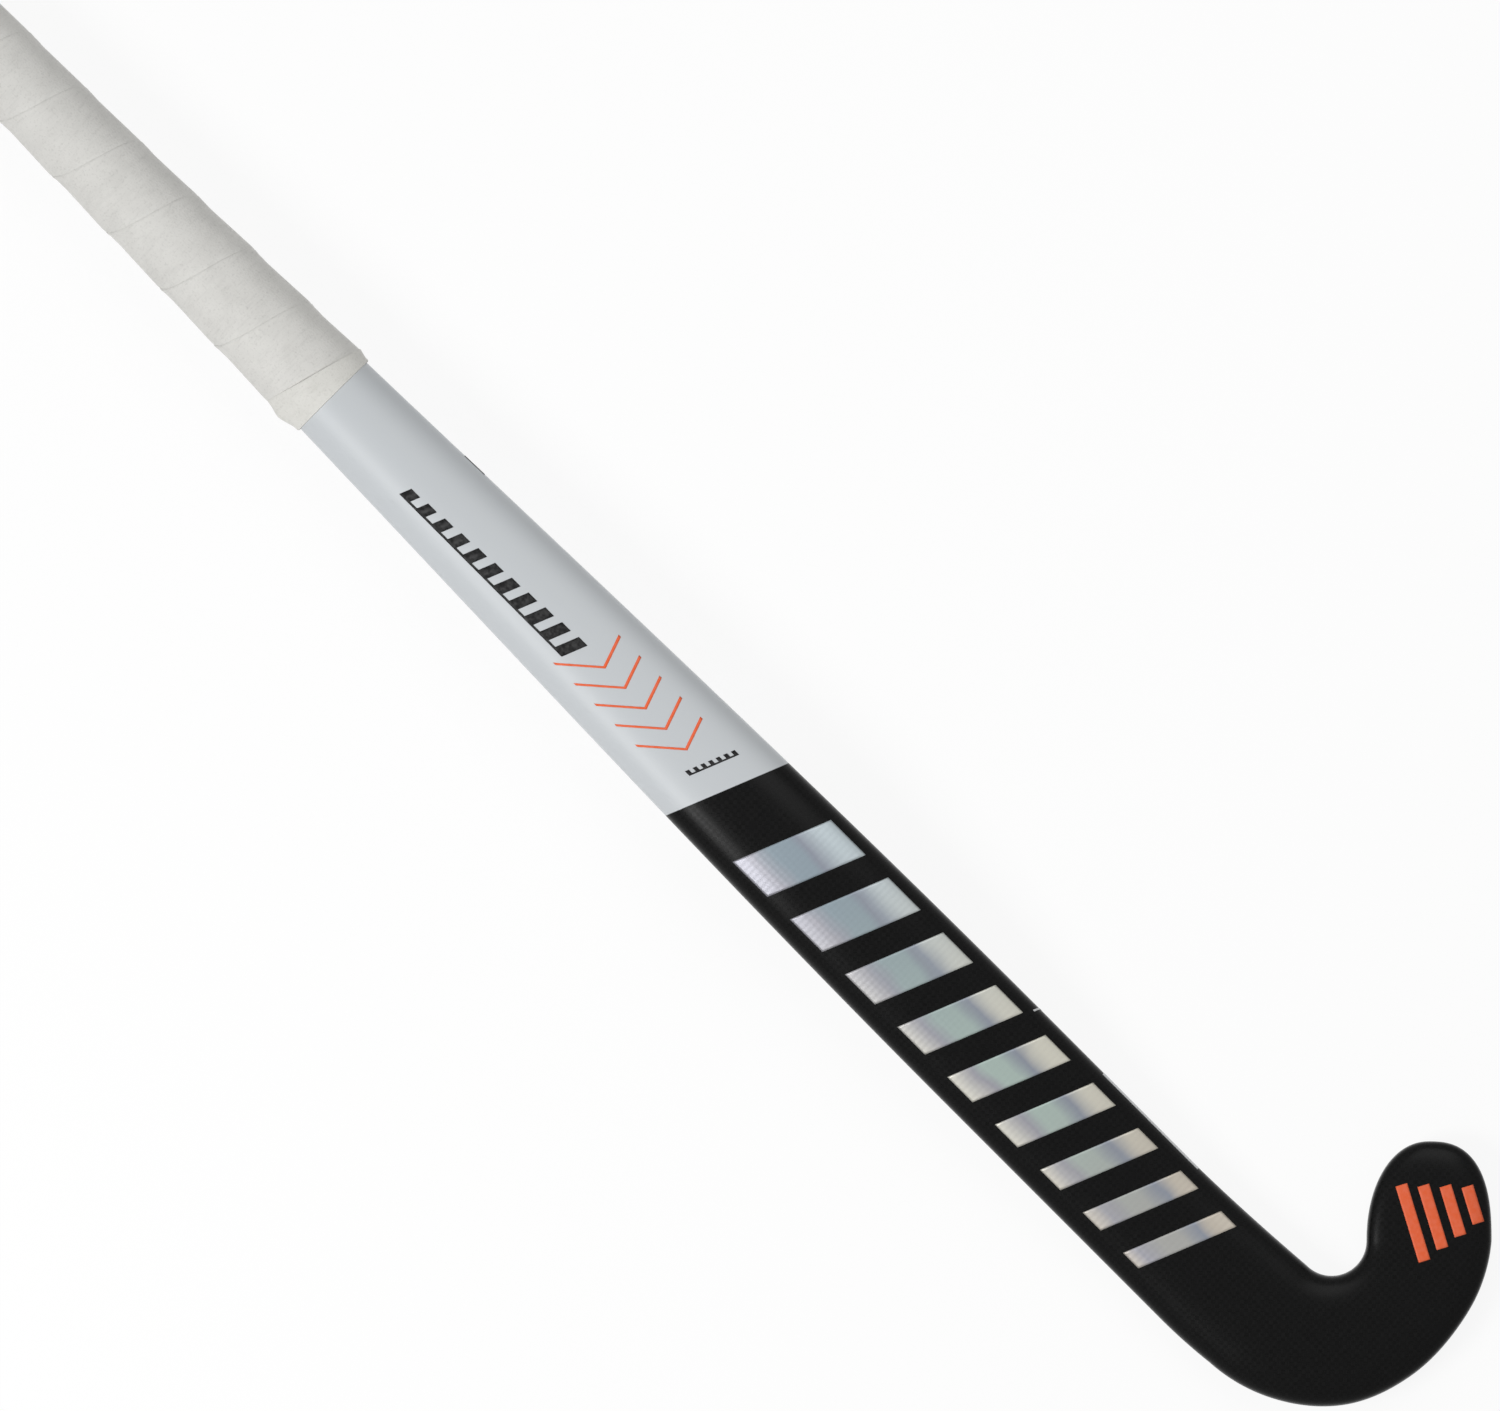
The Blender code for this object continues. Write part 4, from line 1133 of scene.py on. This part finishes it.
def between_edges(start, end, columns):
    """Places from start to end in each row, closer together at both edges."""
    places = EDGE_PLACES * np.minimum(EDGE_SHARE * (end - start) / BEVEL, 1.0)[:, None]
    low = start[:, None] + places
    high = end[:, None] - places[:, ::-1]
    shares = np.linspace(0.0, 1.0, columns)[1:-1]
    return np.hstack([low, low[:, -1:] + (high[:, :1] - low[:, -1:]) * shares, high])


def towards_hook(angle):
    """0 on the heel's side, 1 on the hook's, and a cosine between."""
    return 0.5 + 0.5 * np.cos(angle)


def tape_thickness(across, angle, along):
    """A straight wedge between its edges, pressed thin where the next turn covers it."""
    hook = towards_hook(angle)
    pulled = ease((along - PULLED_FROM) / PULLED_RUN)
    edges = []
    for heel_side, hook_side in zip(ON_HEEL, ON_HOOK):
        edges.append(blend(blend(*heel_side, pulled), blend(*hook_side, pulled), hook))
    wedge = blend(*edges, across / TAPE_WIDTH)
    return blend(TAPE_THIN, wedge, ease(across / TAPE_THICKENS))


def tape_lift(across, angle, along, climb):
    """How far the under side is lifted by the turn below it."""
    ramp = (TAPE_THIN + LAP_GAP) * ease((across - TAPE_PITCH + LAP_RUN) / LAP_RUN)
    covered = tape_thickness(across - TAPE_PITCH, angle, along) + LAP_GAP
    return climb * np.where(across < TAPE_PITCH, ramp, covered)


print("the tape is", round(1000 * TAPE_WIDTH, 1), "mm wide and laps by", 1000 * TAPE_LAP, "mm")

# %% [markdown]
# ## Soft rubber
# The wound tape, the stretch tape below it and the cap's rubber are matt and warm off-white, with
# pores finer than a millimetre and a cloudiness from handling. They differ in warmth and in grain,
# so one function makes all three.

# %% Rubber finishes and the tape
PORE = 0.0008
PORE_EDGES = (0.52, 0.75)
PORE_SHARE = 0.55
CLOUD = 0.009
CLOUD_EDGES = (0.35, 0.75)
CLOUD_SHARE = 0.32
STREAK = (900.0, 160.0, 160.0)  # lumps a metre along, across and upwards
STREAK_SLANT = math.radians(-25)
STREAK_EDGES = (0.45, 0.80)


def rubber(tree, colour, worn, roughness, grain_depth):
    pores = tree.noise(PORE, 3.0)
    clouds = tree.noise(CLOUD, 4.0).step(*CLOUD_EDGES)
    stretched = tree.mapping(tree.place(), STREAK, STREAK_SLANT)
    streaks = tree.noise(1.0, vector=stretched).step(*STREAK_EDGES)
    wear = pores.step(*PORE_EDGES) * PORE_SHARE + (clouds + streaks) * CLOUD_SHARE
    tint = tree.colour_mix(wear, colour, worn)
    grain = tree.bump(pores, grain_depth)
    return tree.shader(Base_Color=tint, Roughness=roughness, Specular_IOR_Level=0.2, Normal=grain)


TAPE_COLOURS = screen(216, 215, 211), screen(196, 195, 191)
BAND_COLOURS = screen(219, 218, 213), screen(200, 199, 193)
CAP_COLOURS = screen(214, 213, 208), screen(196, 195, 190)
TAPE_RUBBER = material("cushion_tape", rubber, *TAPE_COLOURS, 0.60, 0.00012)
BAND_RUBBER = material("stretch_tape", rubber, *BAND_COLOURS, 0.70, 0.00016)
CAP_RUBBER = material("cap_rubber", rubber, *CAP_COLOURS, 0.60, 0.00005)


def grip_tape():
    """Rows follow the winding. Columns go over the upper side and back along the under side."""
    turns, angle, lower, start, end = tape_course()
    along = between_edges(start, end, MIDDLE_COLUMNS)
    across = along - lower[:, None]
    climb = ease((turns - CLIMB[0]) / (CLIMB[1] - CLIMB[0]))[:, None]
    angle = angle[:, None]
    under = TAPE_SEAT + tape_lift(across, angle, along, climb)
    cut = blend(CUT_SHARE, 1.0, rounded(along - along[:, :1], CUT_EDGE))
    bevel = thinned(along[:, -1:] - along, BEVEL)
    upper = under + tape_thickness(across, angle, along) * cut * bevel
    top = wound(angle, along, upper)
    foot = wound(angle, along, under)
    rings = np.concatenate([top, foot[:, -2::-1], top[:, :1]], axis=1)
    add_piece("grip_tape_wound", rings, TAPE_RUBBER, ["grip_tape"], ends=True)


grip_tape()

# %% [markdown]
# ## The finishing band
# A few centimetres of stretch tape close the grip. The band is square to the shaft below and
# slanted where it meets the tape, and the grip's thick end swells under it, most on the heel's side.

# %% Finishing band
BAND_END = CUT_MIDDLE - 0.0106
BAND_EDGE = 0.0010
BAND_SWELLS = (0.0020, 0.0009)  # on the heel's side and on the hook's
BAND_SWELL_AT = 0.009
BAND_SWELL_WIDTH = 0.005
BAND_JOIN = 0.0005  # how much it rises to meet the tape
BAND_JOIN_RUN = 0.0040
BAND_COLUMNS = 144
BAND_ROWS = 30
BAND_GAP = 0.00002


def finishing_band():
    """Rows run up the outside and back down the inside. Columns go round the handle."""
    angle = np.linspace(0.0, 2 * math.pi, BAND_COLUMNS + 1) + math.pi / BAND_COLUMNS
    start = np.full(len(angle), BAND_END)
    along = between_edges(start, grip_cut(angle) - BAND_GAP, BAND_ROWS)
    angle = angle[:, None]
    bell = np.exp(-(((along - BAND_END - BAND_SWELL_AT) / BAND_SWELL_WIDTH) ** 2))
    swell = blend(*BAND_SWELLS, towards_hook(angle)) * bell
    join = BAND_JOIN * ease(1.0 - (along[:, -1:] - along) / BAND_JOIN_RUN)
    cut = blend(CUT_SHARE, 1.0, rounded(along[:, -1:] - along, CUT_EDGE))
    edge = rounded(along - along[:, :1], SOFT_EDGE) * cut
    outer = wound(angle, along, LIFT + (BAND_EDGE - LIFT + swell + join) * edge)
    inner = wound(angle, along, LIFT + 0 * along)
    rings = np.concatenate([outer, inner[:, :0:-1], outer[:, :1]], axis=1).swapaxes(0, 1)
    add_piece("finishing_band_wound", rings, BAND_RUBBER, ["finishing_band"])


finishing_band()

# %% [markdown]
# ## The butt cap
# The photograph stops below the butt, so the cap is the plain usual one: a spigot that presses into
# the plug, and a flange with a rounded rim and a shallow moulded ring in its flat end.

# %% Butt cap
CAP_EDGE = 0.0012
CAP_EDGE_STEPS = 12
CAP_CHAMFER = 0.0003
CAP_RING = ((0.0026, 0.0), (0.0029, 0.0004), (0.0041, 0.0004), (0.0044, 0.0))  # inwards, depth
SPIGOT_RADIUS = 0.0040
SPIGOT_LENGTH = 0.011


def round_ring(radius, along):
    """A circle round the handle's middle, with as many points as a section."""
    angle = np.arctan2(RING[1], RING[0])
    height = shaft_thickness(along) * HANDLE_EQUATOR + radius * np.sin(angle)
    return place(radius * np.cos(angle), np.full(len(angle), along), height)


def butt_cap():
    face = SHELL_END + CLEARANCE
    tip = face - SPIGOT_LENGTH
    rings = [round_ring(SPIGOT_RADIUS - CAP_CHAMFER, tip)]
    rings += [round_ring(SPIGOT_RADIUS, along) for along in (tip + CAP_CHAMFER, face)]
    quarter = np.linspace(0.0, math.pi / 2, CAP_EDGE_STEPS + 1)
    left = [(CAP_EDGE * (1 - math.cos(a)), CAP_EDGE * (1 - math.sin(a))) for a in quarter]
    rim = [(face, CAP_CHAMFER), (face + CAP_CHAMFER, 0.0)]
    rim += [(STICK_LENGTH - depth, inwards) for inwards, depth in (*left, *CAP_RING)]
    for along, drawn_in in rim:
        points, _ = skin(shaft_stations(along, along + CLEARANCE), drawn_in - CAP_PROUD)
        rings.append(points[0])
    add_piece("butt_cap_moulded", np.array(rings), CAP_RUBBER, ["butt_cap"], ends=True)


butt_cap()

# %% [markdown]
# ## What the shell hides
# The foam cores, the bridge, the plug and the underlay keep their solids from the frame, each with
# the finish of its real material: foam is a mass of cut cells, the bridge is bare cloth, the plug
# is moulded plastic, and the underlay is a waxy film.

# %% Finishes inside
CELL = 0.0009
FINE_CELL = 0.6 * CELL
CELL_EDGES = (0.0, 0.7)
CELL_DEPTH = 0.0002
MOULD_PALER = 0.05
MOULD_DEPTH = 0.00002


def foam(tree, colour, shadow, cell):
    """Cells from the distance to the nearest of many scattered points."""
    cells = tree.node("TexVoronoi", None, {"Vector": tree.place(), "Scale": 1.0 / cell})
    tint = tree.colour_mix(cells.step(*CELL_EDGES), shadow, colour)
    return tree.shader(Base_Color=tint, Roughness=0.9, Normal=tree.bump(cells, CELL_DEPTH))


def bare_cloth(tree):
    over = plain_weave(tree, in_tows(tree, tree.place()))
    woven = tree.colour_mix(over, CARBON_DARK, CARBON_CLOUDS)
    return tree.shader(Base_Color=woven, Roughness=0.5 + 0.1 * over, Specular_IOR_Level=0.3)


def moulded(tree, colour, roughness, grain):
    texture = tree.noise(grain)
    tint = mottled(tree, texture, colour, MOULD_PALER)
    return tree.shader(Base_Color=tint, Roughness=roughness, Normal=tree.bump(texture, MOULD_DEPTH))


RIGID_FOAM = material("rigid_foam", foam, (0.80, 0.74, 0.56), (0.62, 0.55, 0.38), CELL)
SOFT_FOAM = material("damping_foam", foam, (0.62, 0.64, 0.66), (0.46, 0.48, 0.50), FINE_CELL)
INNER_FINISHES = {
    "head_core": RIGID_FOAM,
    "heel_side_core": RIGID_FOAM,
    "hook_side_core": RIGID_FOAM,
    "handle_core": SOFT_FOAM,
    "centre_bridge": material("bare_carbon", bare_cloth),
    "butt_plug": material("plug_plastic", moulded, (0.10, 0.10, 0.11), 0.50, 0.0008),
    "grip_underlay": material("underlay_film", moulded, (0.86, 0.85, 0.80), 0.45, 0.0030),
}
for inner_name, inner_finish in INNER_FINISHES.items():
    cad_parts[inner_name].material_slots[0].material = inner_finish
print("finished inside:", ", ".join(INNER_FINISHES))

# %% [markdown]
# ## Size
# The new pieces are meant to keep the size of the object. Both boxes are kept for comparison.

# %% Both boxes
LOW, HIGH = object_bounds()
GROWN = [[round(1000 * float(c), 2) for c in corner] for corner in (LOW - CAD_LOW, HIGH - CAD_HIGH)]
print("grown in mm, at the low and the high corner:", GROWN)
